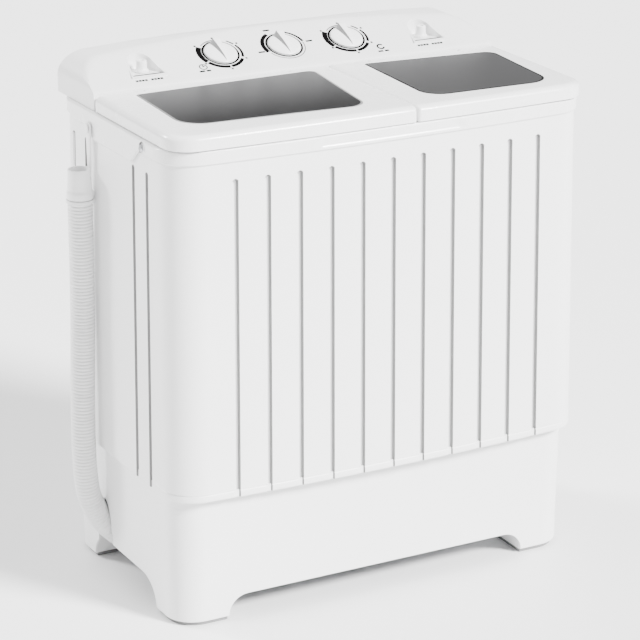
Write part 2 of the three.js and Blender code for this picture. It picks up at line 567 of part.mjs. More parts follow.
// ---- spin side ------------------------------------------------------------------------------
function makeSpinSide() {
  const { x, y, tubHalfX, tubHalfY, floor, basket } = SPIN;
  const outline = (inset) => roundedRect(x - tubHalfX + inset, x + tubHalfX - inset,
    y - tubHalfY + inset, y + tubHalfY - inset, 100 - inset);
  add("spin_tub", cut(prism(outline(0), floor - 3, WASH.top, 3), prism(outline(2.6), floor, WASH.top + 5, 3),
    rod(26.5, floor - 10, floor + 10, { x, y, sides: 16 })), TUB_WHITE);

  const low = 278;
  const high = 560;
  const drum = turned([[7.2, low], [basket - 14, low], [basket, low + 12], [basket, high],
    [basket - 2.4, high], [basket - 2.4, low + 14], [basket - 15, low + 4], [26, low + 4], [20, low + 26],
    [7.2, low + 30], [7.2, low]],
    { x, y, sides: 20 });
  const holes = copies(3, (row) => copies(6, (i) => around(
    rod(6, x + basket - 10, x + basket + 10, { axis: "x", y, z: low + 60 + 80 * row, sides: 4 }),
    ((i + 0.5 * (row % 2)) * Math.PI) / 3, x, y))).flat();
  add("spin_basket", cut(drum, ...holes), TUB_WHITE);
  const balance = [[basket - 12, high + GAP], [basket + 2, high + GAP], [basket + 2, high + 22],
    [basket - 6, high + 26], [basket - 12, high + 20], [basket - 12, high + GAP]];
  add("balance_ring", turned(balance, { x, y, sides: 20 }), BLUE_GREY);
  const cap = turned([[0, 500], [78, 500], [82, 503], [82, 508], [76, 508], [70, 504], [0, 504]],
    { x, y, sides: 16 });
  const drains = copies(4, (i) =>
    around(rod(6, 490, 520, { x: x + 50, y, sides: 6 }), (i * Math.PI) / 2, x, y));
  add("spin_press_cap", cut(cap, ...drains), BLUE_GREY);
  add("spin_shaft", rod(6.6, 164, low + 26, { x, y, sides: 12 }), STEEL);
  const bellows = [[8, 216], [16, 216], [24, 222], [17, 228], [25, 234], [18, 240], [25.4, 246],
    [25.4, floor + 4], [22, floor + 4], [22, 247], [14, 240], [13, 222], [8, 220], [8, 216]];
  add("bellows_seal", turned(bellows, { x, y, sides: 12 }), RUBBER);
  const brake = [[7.2, 178], [50, 178], [50, 200], [46, 200], [46, 184], [18, 184], [18, 204],
    [7.2, 204], [7.2, 178]];
  add("brake_drum", turned(brake, { x, y, sides: 16 }), STEEL);

  // The brake lever stands just clear of the drum; opening the spin lid swings its shoe inwards.
  const pivot = { x: x + 66, y: y + 58, sides: 8 };
  const shoe = common(turned(ringProfile(60, 53, 182, 196), { x, y, sides: 16 }),
    box(x + 30, x + 70, y - 26, y + 26, 170, 210));
  const arm = box(x + 57, x + 67, y + 10, y + 60, 186, 192);
  const eye = rod(9, 184, 194, { ...pivot, sides: 10 });
  add("brake_lever", cut(join(shoe, arm, eye), rod(4.6, 170, 210, pivot)), PAINTED);
  add("brake_pivot", rod(4, BRACKET_Z + 3 + GAP, 200, pivot), STEEL);
  makeMotor("spin_motor", SPIN, 56, 156);
  copies(3, (i) => {
    const angle = (i * 2 * Math.PI) / 3 + Math.PI / 2;
    const place = { x: x + 56 * Math.cos(angle), y: y + 56 * Math.sin(angle), sides: 10 };
    add(`spin_damper_${i + 1}`, rod(7, BRACKET_Z + 3 + GAP, BRACKET_Z + 24 - GAP, place), RUBBER);
  });
}

function makeBracket() {
  const { halfX, front, back } = BASE;
  const inset = WALL + 4;
  const outline = roundedRect(
    -halfX + inset, halfX - inset, front + inset, back - inset, BASE.corner - inset);
  const plate = prism(outline, BRACKET_Z, BRACKET_Z + 3, 3);
  const windows = [
    prism(roundedRect(-265, -95, -130, 30, 20), 0, 100, 1),
    prism(roundedRect(-70, 70, -130, 20, 20), 0, 100, 1),
    prism(roundedRect(95, 265, 60, 140, 20), 0, 100, 1),
    box(-300, DRAIN.x + 24, HOSE.y - 24, HOSE.y + 24, 0, 100),
  ];
  const motorHoles = [rod(34, 0, 100, { x: WASH_MOTOR.x, y: WASH_MOTOR.y, sides: 8 }),
    rod(36, 0, 100, { x: SPIN.x, y: SPIN.y, sides: 8 })];
  add("motor_bracket", cut(plate, ...windows, ...motorHoles), STEEL);
}

// ---- plumbing -------------------------------------------------------------------------------
// The hose's centreline as [x, z]: from the drain elbow, out through the notch, and up the side.
const HOSE_ROUTE = [
  [HOSE.endX, HOSE.low], [-199, 19], [-231.6, 23.3], [-262, 35.9], [-288.1, 55.9], [-308.1, 82],
  [-320.7, 112.4], [-325, 145], [-326.2, 180], [-326.4, 215], [-325.8, 250], [-324.6, 290], [-323.2, 330],
  [-322.1, 370], [-321.5, 410], [-321.1, 450], [HOSE.topX, 490], [HOSE.topX, CUFF.bottom - GAP],
];

function hoseCurve() {
  const points = HOSE_ROUTE.map(([x, z]) => new THREE.Vector3(x, HOSE.y, z));
  return new THREE.CatmullRomCurve3(points, false, "centripetal");
}

function makePlumbing() {
  const { x, y } = DRAIN;
  const top = WASH.floor - 3 - GAP;
  const valve = [[0, 170], [20, 170], [20, 226], [26, 230], [26, top], [18, top], [18, 190], [0, 190]];
  add("drain_valve", turned(valve, { x, y, sides: 16 }), TUB_WHITE);
  const bend = 18;
  const elbow = new THREE.CurvePath();
  const corner = new THREE.Vector3(x, y, HOSE.low);
  elbow.add(new THREE.LineCurve3(new THREE.Vector3(x, y, 169.5), new THREE.Vector3(x, y, HOSE.low + bend)));
  elbow.add(new THREE.QuadraticBezierCurve3(new THREE.Vector3(x, y, HOSE.low + bend), corner,
    new THREE.Vector3(x - bend - 2, y, HOSE.low)));
  const socket = rod(17, HOSE.endX + GAP, HOSE.endX + GAP + 8, { axis: "x", y, z: HOSE.low, sides: 12 });
  add("drain_elbow", join(along(elbow, 12, 8, 8), socket), TUB_WHITE);

  add("drain_hose", along(hoseCurve(), HOSE.radius, 22, 8), HOSE_GREY);
  const { topX } = HOSE;
  const cuff = [[11, 0], [17.6, 0], [18.4, 3], [18.4, 10], [16.6, 13], [16.6, 34], [17.4, 36], [17.4, 40],
    [14, 40], [14, 4], [11, 4], [11, 0]];
  add("hose_cuff", turned(cuff, { x: topX, y, z: CUFF.bottom, sides: 12 }), WHITE);
  const strap = new THREE.Shape();
  strap.moveTo(y - 4.5, CUFF.top + GAP - 8);
  strap.lineTo(y + 4.5, CUFF.top + GAP - 8);
  strap.lineTo(y + 7, PEG_Z - 4);
  strap.absarc(y, PEG_Z, 8, -0.5, Math.PI + 0.5);
  strap.closePath();
  const upright = new THREE.Matrix4().makeBasis(
    new THREE.Vector3(0, 1, 0), new THREE.Vector3(0, 0, 1), new THREE.Vector3(1, 0, 0));
  const plate = prism(strap, 0, 2.4, 4).applyMatrix4(upright).translate(-307.7, 0, 0);
  add("hose_strap", cut(plate, rod(4.6, -320, -290, { axis: "x", y, z: PEG_Z, sides: 10 }),
    rod(18.7, CUFF.bottom, CUFF.top + 0.4, { x: topX, y, sides: 16 })), WHITE);
}

makeCasing();
makeBase();
makeDeck();
makeLid("wash", -300, LID.split - 0.8, [-255, 2, -143, 37, 24], HINGE_LUGS.wash);
makeLid("spin", LID.split + 0.8, 300, [76, 258, -149, 35, 24], HINGE_LUGS.spin);
makePanel();
makeControls();
makeWashTub();
makeDrive();
makeSpinSide();
makeBracket();
makePlumbing();

export default washer;
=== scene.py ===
from math import acos, atan2, cos, hypot, pi, radians, sin, sqrt, tan

import bmesh
import bpy
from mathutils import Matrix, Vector


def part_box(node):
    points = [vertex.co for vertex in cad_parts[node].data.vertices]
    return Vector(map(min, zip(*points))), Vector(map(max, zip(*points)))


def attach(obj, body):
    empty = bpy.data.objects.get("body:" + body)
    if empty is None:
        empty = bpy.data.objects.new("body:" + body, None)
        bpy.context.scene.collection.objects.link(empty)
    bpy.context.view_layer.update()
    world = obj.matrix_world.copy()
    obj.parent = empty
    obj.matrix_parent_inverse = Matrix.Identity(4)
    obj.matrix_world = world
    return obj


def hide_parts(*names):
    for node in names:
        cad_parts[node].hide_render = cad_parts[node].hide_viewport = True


# The looks of a compact twin tub washer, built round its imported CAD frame. Shapes are written in
# millimetres in the frame's own axes (+X right, -Y front, +Z up); closed_mesh turns them into metres.
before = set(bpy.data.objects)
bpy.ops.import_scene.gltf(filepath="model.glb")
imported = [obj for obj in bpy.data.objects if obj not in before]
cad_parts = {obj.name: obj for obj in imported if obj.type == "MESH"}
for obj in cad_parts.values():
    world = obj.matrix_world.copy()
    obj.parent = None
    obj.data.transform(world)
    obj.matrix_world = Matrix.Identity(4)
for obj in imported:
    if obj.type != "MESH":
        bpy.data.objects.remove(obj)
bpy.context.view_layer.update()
MM = 0.001
ROOT = "washer"


def cad(node):
    """A CAD node's lowest and highest corner, in millimetres."""
    low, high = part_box(node)
    return [c / MM for c in low], [c / MM for c in high]


# ---- driving sizes, from the frame where it holds them ----
CABINET_LOW_Z = cad("cabinet")[0][2]
BASE_LOW_Z, BASE_TOP_Z = (c[2] for c in cad("base"))
PANEL_LOW_Z, PANEL_TOP_Z = (c[2] for c in cad("control_panel"))

HALF_WIDTH, FRONT, BACK, CORNER, DRAFT = 300, -174, 177, 45, 5
SEAM_Z = 624
DECK_Z = 642
BOW = 8
BOW_HALF = 255
GROOVED_HALF_X, GROOVED_HALF_Y = 250, 131
SCREW_Y = -94
GROOVE_PITCH, GROOVE_MIDDLE, GROOVE_COUNT = 43.9, 3, 11
GROOVE_WIDTH, GROOVE_DEPTH, GROOVE_TOP = 7.6, 5.5, 601
RIM_Z = 190.2
SIDE_GROOVES = (-98, -58, 88, 127)
REAR_OPENING, REAR_OPENING_Z = (-250, 250, 150, 205), (206, 596)

FRONT_ARCH_HALF, FRONT_ARCH_TOP, FRONT_ARCH_FILLET = 224, 33, 28
SIDE_ARCH_FRONT, SIDE_ARCH_REAR, SIDE_ARCH_TOP, SIDE_ARCH_FILLET = -92, 106, 42, 42
DECK_HALF_WIDTH, SKIRT_DROP, SKIRT_REAR_DROP = 304, 18, 4

PANEL_FRONT, PANEL_FRONT_TOP, PANEL_SLOPE, PANEL_LENGTH = 62.5, 665, radians(24), 97.6
PANEL_ROUND_X, PANEL_ROUND, PANEL_END_Z, PRINT_LIFT = 262, 37, 666, 0.28
KNOB_X = {"wash_timer": -95, "selector": 0, "spin_timer": 95}
KNOB_ALONG, KNOB_RADIUS = 50.5, 22.5
INLET_X, INLET_FLOOR, INLET_FRONT = 211, 674, 82
INLET_Y = sum(c[1] for c in cad("wash_water_inlet")) / 2
INLET_HEIGHT = cad("wash_water_inlet")[1][2] - INLET_FLOOR

LID_BOTTOM, LID_TOP, LID_SPLIT, LID_GAP, LID_FRONT = 643.2, 665, 37.5, 2.4, -177
PANE_EDGE = 3.2
HINGE_LUGS = {"wash": (-236, -24), "spin": (96, 236)}
HINGE_Y, HINGE_Z = 50, (LID_BOTTOM + LID_TOP) / 2
WASH_MOUTH, WASH_MOUTH_CORNER = (-264, 4, -158, 40), 40
SPIN_MOUTH, SPIN_MOUTH_CORNER = (67, 259, -150, 40), 80

PEG_Z = 620
HOSE_Y, HOSE_RADIUS, HOSE_CLEARANCE = 66, 16.5, 2
HOSE_BEND_RADIUS, HOSE_BEND_Z, WALL_FROM_BEND = 126, 145, 99
HOSE_HOLE_Y, HOSE_HOLE_Z, HOSE_HOLE_RADIUS, HOSE_HOLE_TOP = HOSE_Y + 2, 52, 24, 106
CUFF_PROFILE = [
    (12, 0.2), (16.6, 0.2), (17.4, 1), (17.6, 3), (17.6, 8), (17.2, 10), (16.4, 11.2), (16.1, 13),
    (15.9, 20), (15.6, 28), (15.3, 35), (15.2, 38.6), (14.7, 39.8), (13.2, 39.8), (12.6, 39), (12.3, 34),
    (12, 5), (12, 0.2),
]
CLIP_PROFILE = [
    (16.8, -4.5), (18.1, -4.2), (18.3, -3), (18.3, -1.6), (18.0, -0.6), (16.8, -0.4), (16.8, -4.5),
]
HOSE_ROUTE = [
    (-188, 19), (-199, 19), (-231.6, 23.3), (-262, 35.9), (-288.1, 55.9), (-308.1, 82),
    (-320.7, 112.4), (-325, 145), (-326.2, 180), (-326.4, 215), (-325.8, 250), (-324.6, 290), (-323.2, 330),
    (-322.1, 370), (-321.5, 410), (-321.1, 450), (-321, 490), (-321, 527.6),
]


# ---- materials ----
def set_inputs(node, **values):
    """Sets a node's inputs; an underscore stands for a space in an input's name."""
    for key, value in values.items():
        node.inputs[key.replace("_", " ")].default_value = value
    return node


def new_material(name, colour, roughness, metallic=0.0, coat=0.0, specular=0.5):
    material = bpy.data.materials.new(name)
    material.use_nodes = True
    tree = material.node_tree
    shader = set_inputs(tree.nodes["Principled BSDF"], Base_Color=(*colour, 1), Roughness=roughness,
                        Metallic=metallic, Coat_Weight=coat, Coat_Roughness=0.08, Specular_IOR_Level=specular)
    return material, tree, shader


def noise_node(tree, scale, detail=2.0, stretch=(1, 1, 1)):
    where = tree.nodes.new("ShaderNodeTexCoord")
    mapping = set_inputs(tree.nodes.new("ShaderNodeMapping"), Scale=stretch)
    noise = set_inputs(tree.nodes.new("ShaderNodeTexNoise"), Scale=scale, Detail=detail)
    tree.links.new(where.outputs["Object"], mapping.inputs["Vector"])
    tree.links.new(mapping.outputs["Vector"], noise.inputs["Vector"])
    return noise


def roughen(tree, shader, noise, low, high):
    """The roughness drifts between low and high with a noise's middle range."""
    node = set_inputs(tree.nodes.new("ShaderNodeMapRange"), From_Min=0.3, From_Max=0.7,
                      To_Min=low, To_Max=high)
    tree.links.new(noise.outputs["Fac"], node.inputs["Value"])
    tree.links.new(node.outputs["Result"], shader.inputs["Roughness"])


def mottled(tree, shader, colour, amount, scale):
    """The base colour drifts a little over the surface, as a moulding's does."""
    noise = noise_node(tree, scale, 3)
    ramp = tree.nodes.new("ShaderNodeValToRGB")
    ramp.color_ramp.elements[0].position = 0.3
    ramp.color_ramp.elements[1].position = 0.7
    ramp.color_ramp.elements[0].color = (*[c * (1 - amount) for c in colour], 1)
    ramp.color_ramp.elements[1].color = (*colour, 1)
    tree.links.new(noise.outputs["Fac"], ramp.inputs["Fac"])
    tree.links.new(ramp.outputs["Color"], shader.inputs["Base Color"])


def bump(tree, shader, noise, distance, strength):
    node = set_inputs(tree.nodes.new("ShaderNodeBump"), Distance=distance, Strength=strength)
    tree.links.new(noise.outputs["Fac"], node.inputs["Height"])
    tree.links.new(node.outputs["Normal"], shader.inputs["Normal"])


def moulded_plastic(name, colour, roughness, grain_mm=1.2, grain=0.12, mottle=0.02, coat=0.0, specular=0.5):
    material, tree, shader = new_material(name, colour, roughness, coat=coat, specular=specular)
    mottled(tree, shader, colour, mottle, 9)
    bump(tree, shader, noise_node(tree, 1 / (grain_mm * MM)), 0.0002, grain)
    roughen(tree, shader, noise_node(tree, 35), roughness * 0.9, roughness * 1.12)
    return material


def smoked_plastic(name, front, rear, y_front, y_rear):
    """Tinted gloss plastic, whose colour grows lighter towards the rear."""
    material, tree, shader = new_material(name, front, 0.3, specular=0.05)
    where = tree.nodes.new("ShaderNodeTexCoord")
    axes = tree.nodes.new("ShaderNodeSeparateXYZ")
    share = set_inputs(tree.nodes.new("ShaderNodeMapRange"), From_Min=y_front * MM, From_Max=y_rear * MM)
    ramp = tree.nodes.new("ShaderNodeValToRGB")
    ramp.color_ramp.interpolation = "EASE"
    ramp.color_ramp.elements[0].color = (*front, 1)
    ramp.color_ramp.elements[1].color = (*rear, 1)
    tree.links.new(where.outputs["Object"], axes.inputs["Vector"])
    tree.links.new(axes.outputs["Y"], share.inputs["Value"])
    tree.links.new(share.outputs["Result"], ramp.inputs["Fac"])
    tree.links.new(ramp.outputs["Color"], shader.inputs["Base Color"])
    bump(tree, shader, noise_node(tree, 14, 1), 0.001, 0.04)
    return material


def worked_metal(name, colour, roughness, metallic=1.0, stretch=(1, 1, 30)):
    material, tree, shader = new_material(name, colour, roughness, metallic)
    mottled(tree, shader, colour, 0.12, 60)
    streaks = noise_node(tree, 260, 2, stretch)
    roughen(tree, shader, streaks, roughness * 0.8, roughness * 1.25)
    bump(tree, shader, streaks, 0.0002, 0.15)
    return material


def rubber(name, colour):
    material, tree, shader = new_material(name, colour, 0.75, specular=0.3)
    mottled(tree, shader, colour, 0.3, 80)
    bump(tree, shader, noise_node(tree, 1600), 0.0003, 0.4)
    return material


WHITE = moulded_plastic("white_gloss_plastic", (0.86, 0.86, 0.86), 0.26, coat=0.15)
CABINET_WHITE = moulded_plastic("white_cabinet_plastic", (0.86, 0.86, 0.86), 0.34, grain=0.18)
PANEL_WHITE = moulded_plastic("panel_plastic", (0.78, 0.78, 0.78), 0.42, grain=0.25)
KNOB_WHITE = moulded_plastic("knob_plastic", (0.88, 0.88, 0.88), 0.3)
SATIN = moulded_plastic("white_satin_plastic", (0.74, 0.75, 0.75), 0.5, grain=0.35)
FOOT_PLASTIC = moulded_plastic("foot_plastic", (0.2, 0.2, 0.2), 0.6, grain=0.35)
HOSE_PLASTIC = moulded_plastic("hose_plastic", (0.8, 0.8, 0.8), 0.45, grain_mm=2.5, grain=0.2, mottle=0.05)
TUB_PLASTIC = moulded_plastic("tub_plastic", (0.76, 0.8, 0.83), 0.38, grain=0.2)
BLUE_GREY = moulded_plastic("blue_grey_plastic", (0.4, 0.47, 0.54), 0.4, grain=0.2, mottle=0.05)
WASH_WINDOW = smoked_plastic("wash_window_plastic", (0.006, 0.006, 0.0063), (0.062, 0.062, 0.063), -150, 50)
SPIN_WINDOW = smoked_plastic("spin_window_plastic", (0.034, 0.034, 0.0345), (0.042, 0.042, 0.043), -150, 50)
WINDOW_BORDER = moulded_plastic("window_border_plastic", (0.2, 0.2, 0.2), 0.4, specular=0.2)
BLACK_EDGE = moulded_plastic("black_edge_plastic", (0.003, 0.003, 0.003), 0.5, specular=0.1)
INK = moulded_plastic("print_ink", (0.001, 0.001, 0.001), 0.7, specular=0.05)
GREY_INK = moulded_plastic("grey_print_ink", (0.12, 0.12, 0.12), 0.6, specular=0.2)
# Painted shade: a dark grey on each knob grip's left flank, the side turned from the key light.
KNOB_FLANK_PAINTED_SHADE = moulded_plastic("knob_flank_painted_shade", (0.26, 0.26, 0.26), 0.45, specular=0.3)
# Painted shade: a dark grey laid on groove walls and ends and on the screw scoops' walls, where shade falls.
RECESS_PAINTED_SHADE = moulded_plastic("recess_painted_shade", (0.2, 0.2, 0.2), 0.6, specular=0.2)
STEEL = worked_metal("zinc_plated_steel", (0.55, 0.56, 0.58), 0.35)
PAINTED = worked_metal("painted_steel", (0.05, 0.055, 0.06), 0.45, metallic=0.3)
RUBBER = rubber("black_rubber", (0.02, 0.02, 0.021))


# ---- mesh helpers ----
def add_object(name, data):
    added = bpy.data.objects.new(name, data)
    bpy.context.scene.collection.objects.link(added)
    return added


def closed_mesh(name, verts, faces, weld=False):
    """A mesh from points in millimetres, with its faces turned outward."""
    mesh = bpy.data.meshes.new(name)
    mesh.from_pydata([tuple(c * MM for c in v) for v in verts], [], faces)
    working = bmesh.new()
    working.from_mesh(mesh)
    if weld:
        bmesh.ops.remove_doubles(working, verts=working.verts, dist=1e-6)
    bmesh.ops.recalc_face_normals(working, faces=working.faces)
    working.to_mesh(mesh)
    working.free()
    return mesh


def evaluated_mesh(source):
    """The mesh that an object's curve or modifiers make."""
    bpy.context.view_layer.update()
    return bpy.data.meshes.new_from_object(source.evaluated_get(bpy.context.evaluated_depsgraph_get()))


def make_piece(name, verts, faces, material, body=ROOT, slot="white_gloss", angle=35, replaces=(), bevel=0.0):
    """A closed mesh in millimetres becomes a piece that rides on a CAD body."""
    mesh = closed_mesh(name, verts, faces, weld=True)
    return dress(name, mesh, material, body, slot, angle, replaces, bevel)


def dress(name, mesh, material, body, slot, angle, replaces, bevel=0.0):
    mesh.materials.clear()
    for entry in material if isinstance(material, (list, tuple)) else [material]:
        mesh.materials.append(entry)
    mesh.shade_smooth()
    mesh.set_sharp_from_angle(angle=radians(angle))
    piece = add_object(name, mesh)
    if bevel:
        edges = piece.modifiers.new("edges", "BEVEL")
        edges.width = bevel * MM
        edges.segments = 3
        edges.limit_method = "ANGLE"
        edges.angle_limit = radians(angle)
        edges.harden_normals = True
    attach(piece, body)
    if replaces:
        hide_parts(*replaces)
    return piece


def loft(rings, wrap=False):
    """Joins closed rings of equal point counts into one surface; wrap joins the last to the first."""
    count = len(rings[0])
    verts = [p for ring in rings for p in ring]
    faces = []
    for r in range(len(rings) if wrap else len(rings) - 1):
        a, b = r * count, ((r + 1) % len(rings)) * count
        for i in range(count):
            j = (i + 1) % count
            faces.append((a + i, a + j, b + j, b + i))
    return verts, faces


def solid(rings):
    """A loft whose first and last rings are closed by a face."""
    verts, faces = loft(rings)
    count = len(rings[0])
    faces.append(tuple(range(count))[::-1])
    faces.append(tuple(range(len(verts) - count, len(verts))))
    return verts, faces


def circle(radius, sides):
    """Points of a circle about the origin."""
    turns = [2 * pi * i / sides for i in range(sides)]
    return [(radius * cos(a), radius * sin(a)) for a in turns]


def merged(*shapes):
    verts, faces = [], []
    for v, f in shapes:
        start = len(verts)
        verts += v
        faces += [tuple(i + start for i in face) for face in f]
    return verts, faces


def span(a, b, count):
    """count + 1 values from a to b."""
    return [a + (b - a) * i / count for i in range(count + 1)]


def smoothstep(a, b, x):
    t = min(1.0, max(0.0, (x - a) / (b - a)))
    return t * t * (3 - 2 * t)


def rounded_quad(corners, radii, arc=8, straight=10):
    """A four-cornered outline with round corners, counter-clockwise, always 4 * (arc + straight) points."""
    points = []
    for i in range(4):
        p = Vector(corners[i])
        to_last = (Vector(corners[i - 1]) - p).normalized()
        to_next = (Vector(corners[(i + 1) % 4]) - p).normalized()
        half = acos(max(-1, min(1, to_last.dot(to_next)))) / 2
        reach = radii[i] / tan(half)
        centre = p + (to_last + to_next).normalized() * (radii[i] / sin(half))
        start = p + to_last * reach - centre
        turn = pi - 2 * half
        first = atan2(start.y, start.x)
        for k in range(arc + 1):
            a = first + turn * k / arc
            points.append(tuple(centre + radii[i] * Vector((cos(a), sin(a)))))
    outline = []
    for i in range(4):
        outline += points[i * (arc + 1):(i + 1) * (arc + 1)]
        a, b = Vector(points[(i + 1) * (arc + 1) - 1]), Vector(points[((i + 1) * (arc + 1)) % len(points)])
        outline += [tuple(a.lerp(b, k / straight)) for k in range(1, straight)]
    return outline


def rectangle(x0, x1, y0, y1):
    return [(x0, y0), (x1, y0), (x1, y1), (x0, y1)]


def lathe(profile, centre, sides=48):
    """A turned shape from [radius, height] pairs; radius 0 closes it on the axis."""
    rings = []
    for radius, height in profile:
        rings.append([(centre[0] + a, centre[1] + b, centre[2] + height) for a, b in circle(radius, sides)])
    return loft(rings, wrap=profile[0] == profile[-1])


def box_shape(x0, x1, y0, y1, z0, z1):
    verts = [(x, y, z) for z in (z0, z1) for x, y in rectangle(x0, x1, y0, y1)]
    return verts, [(3, 2, 1, 0), (4, 5, 6, 7), (0, 1, 5, 4), (1, 2, 6, 5), (2, 3, 7, 6), (3, 0, 4, 7)]


def inset_ring(edges, radii, inset, z, arc, straight, smallest=0.2):
    """A round-cornered rectangle at height z, moved in by inset."""
    x0, x1, y0, y1 = edges
    quad = rectangle(x0 + inset, x1 - inset, y0 + inset, y1 - inset)
    rounds = [max(radius - inset, smallest) for radius in radii]
    return [(x, y, z) for x, y in rounded_quad(quad, rounds, arc, straight)]


def rounded_box(edges, z0, z1, radius, edge=0.8):
    """An upright block with round corners in plan and softened top and bottom edges."""
    def ring(inset, z):
        return inset_ring(edges, [radius] * 4, inset, z, 5, 1)

    rings = [ring(edge, z0), ring(edge * 0.3, z0 + edge * 0.3), ring(0, z0 + edge),
             ring(0, z1 - edge), ring(edge * 0.3, z1 - edge * 0.3), ring(edge, z1)]
    return solid(rings)


def swept_tube(points, radius_at, sides=28, up=Vector((0, 1, 0))):
    """A tube along points that lie in a plane square to `up`; radius_at gives (distance, radius) rings."""
    path = smooth_path(points, 24)
    lengths = [0.0]
    for a, b in zip(path, path[1:]):
        lengths.append(lengths[-1] + (b - a).length)
    rings, k = [], 0
    for distance, radius in radius_at(lengths[-1]):
        distance = min(distance, lengths[-1])
        while k < len(path) - 2 and lengths[k + 1] < distance:
            k += 1
        t = (distance - lengths[k]) / (lengths[k + 1] - lengths[k])
        place = path[k].lerp(path[k + 1], t)
        tangent = (path[k + 1] - path[k]).normalized()
        side = tangent.cross(up).normalized()
        rings.append([tuple(place + radius * (a * up + b * side)) for a, b in circle(1, sides)])
    return solid(rings), path, lengths[-1]


def smooth_path(points, per_span):
    """A smooth line through every point, with the tangent at each set by its neighbours."""
    p = [Vector(q) for q in points]
    p = [2 * p[0] - p[1]] + p + [2 * p[-1] - p[-2]]
    line = []
    for i in range(1, len(p) - 2):
        length = (p[i + 1] - p[i]).length
        m0 = (p[i + 1] - p[i - 1]) * (length / ((p[i + 1] - p[i]).length + (p[i] - p[i - 1]).length))
        m1 = (p[i + 2] - p[i]) * (length / ((p[i + 2] - p[i + 1]).length + (p[i + 1] - p[i]).length))
        for k in range(per_span):
            t = k / per_span
            line.append((2 * t ** 3 - 3 * t ** 2 + 1) * p[i] + (t ** 3 - 2 * t ** 2 + t) * m0
                        + (3 * t ** 2 - 2 * t ** 3) * p[i + 1] + (t ** 3 - t ** 2) * m1)
    line.append(p[-2])
    return line


def plate(name, outer, holes, z0, z1, edge, material, **dressing):
    """A flat plate with holes and softened edges, from outlines in plan."""
    curve = bpy.data.curves.new(name, "CURVE")
    curve.dimensions = "2D"
    curve.fill_mode = "BOTH"
    curve.extrude = ((z1 - z0) / 2 - edge) * MM
    curve.bevel_depth = edge * MM
    curve.bevel_resolution = 2
    curve.offset = -edge * MM
    for outline in [outer] + holes:
        spline = curve.splines.new("POLY")
        spline.points.add(len(outline) - 1)
        for point, (x, y) in zip(spline.points, outline):
            point.co = (x * MM, y * MM, 0, 1)
        spline.use_cyclic_u = True
    holder = add_object(name, curve)
    mesh = evaluated_mesh(holder)
    bpy.data.objects.remove(holder)
    bpy.data.curves.remove(curve)
    for vertex in mesh.vertices:
        vertex.co.z += (z0 + z1) / 2 * MM
    settings = {"body": ROOT, "slot": "white_gloss", "angle": 35, "replaces": ()}
    settings.update(dressing)
    return dress(name, mesh, material, **settings)


def shade(piece, wanted):
    """Gives a piece's second material, a painted shade in every use here, to the faces that wanted(x, y, z,
    normal) picks.
    """
    for face in piece.data.polygons:
        if wanted(*(c / MM for c in face.center), face.normal):
            face.material_index = 1


def cut_from(piece, *cutters):
    """Takes closed shapes out of a piece, and leaves no modifier or cutter behind."""
    for verts, faces in cutters:
        mesh = closed_mesh("cutter", verts, faces)
        cutter = add_object("cutter", mesh)
        cut = piece.modifiers.new("cut", "BOOLEAN")
        cut.operation = "DIFFERENCE"
        cut.solver = "EXACT"
        cut.object = cutter
        result = evaluated_mesh(piece)
        piece.modifiers.clear()
        old = piece.data
        piece.data = result
        result.name = old.name
        bpy.data.meshes.remove(old)
        bpy.data.objects.remove(cutter)
        bpy.data.meshes.remove(mesh)
    piece.data.shade_smooth()
    piece.data.set_sharp_from_angle(angle=radians(30))


# ---- camera, then the drain hose ----
CAMERA_LENS, CAMERA_SENSOR = 150.256, 36
CAMERA_PLACE = (-1.61877, -2.99858, 1.51703)
CAMERA_HEADING = (0.44771, 0.83133, -0.32931)


def make_camera():
    camera = add_object("camera", bpy.data.cameras.new("camera"))
    camera.data.sensor_width = CAMERA_SENSOR
    camera.data.lens = CAMERA_LENS
    camera.location = CAMERA_PLACE
    camera.rotation_euler = Vector(CAMERA_HEADING).to_track_quat("-Z", "Y").to_euler()
    bpy.context.scene.camera = camera


def hose_rings(total):
    """Rings of a corrugated wall: a rounded crest and a narrow valley every few millimetres."""
    pitch, valley = 4.6, HOSE_RADIUS - 1.5
    rings = [(0.0, valley)]
    crest = HOSE_RADIUS - 0.25
    wave = ((0.12, valley), (0.3, crest), (0.55, HOSE_RADIUS), (0.8, crest), (0.98, valley))
    for i in range(int(total / pitch)):
        rings += [(i * pitch + share * pitch, radius) for share, radius in wave]
    rings.append((total, valley))
    return rings


def make_hose():
    points = [(x, HOSE_Y, z) for x, z in HOSE_ROUTE]
    (verts, faces), path, length = swept_tube(points, hose_rings)
    hose = make_piece("drain_hose_corrugated", verts, faces, HOSE_PLASTIC, slot="hose_plastic", angle=60,
                      replaces=("drain_hose",))

    low, high = cad("hose_cuff")
    x, z = HOSE_ROUTE[-1][0], low[2]
    cuff = make_piece("hose_cuff_body", *lathe(CUFF_PROFILE, (x, HOSE_Y, z), 56), KNOB_WHITE,
                      slot="hose_plastic", replaces=("hose_cuff",))
    ring = make_piece("hose_clip_ring", *lathe(CLIP_PROFILE, (x, HOSE_Y, z)), HOSE_PLASTIC,
                      slot="hose_plastic")
    strap = make_strap(high[2])
    tuple(c * MM for c in points[0])
    [tuple(c * MM for c in p) for p in path]


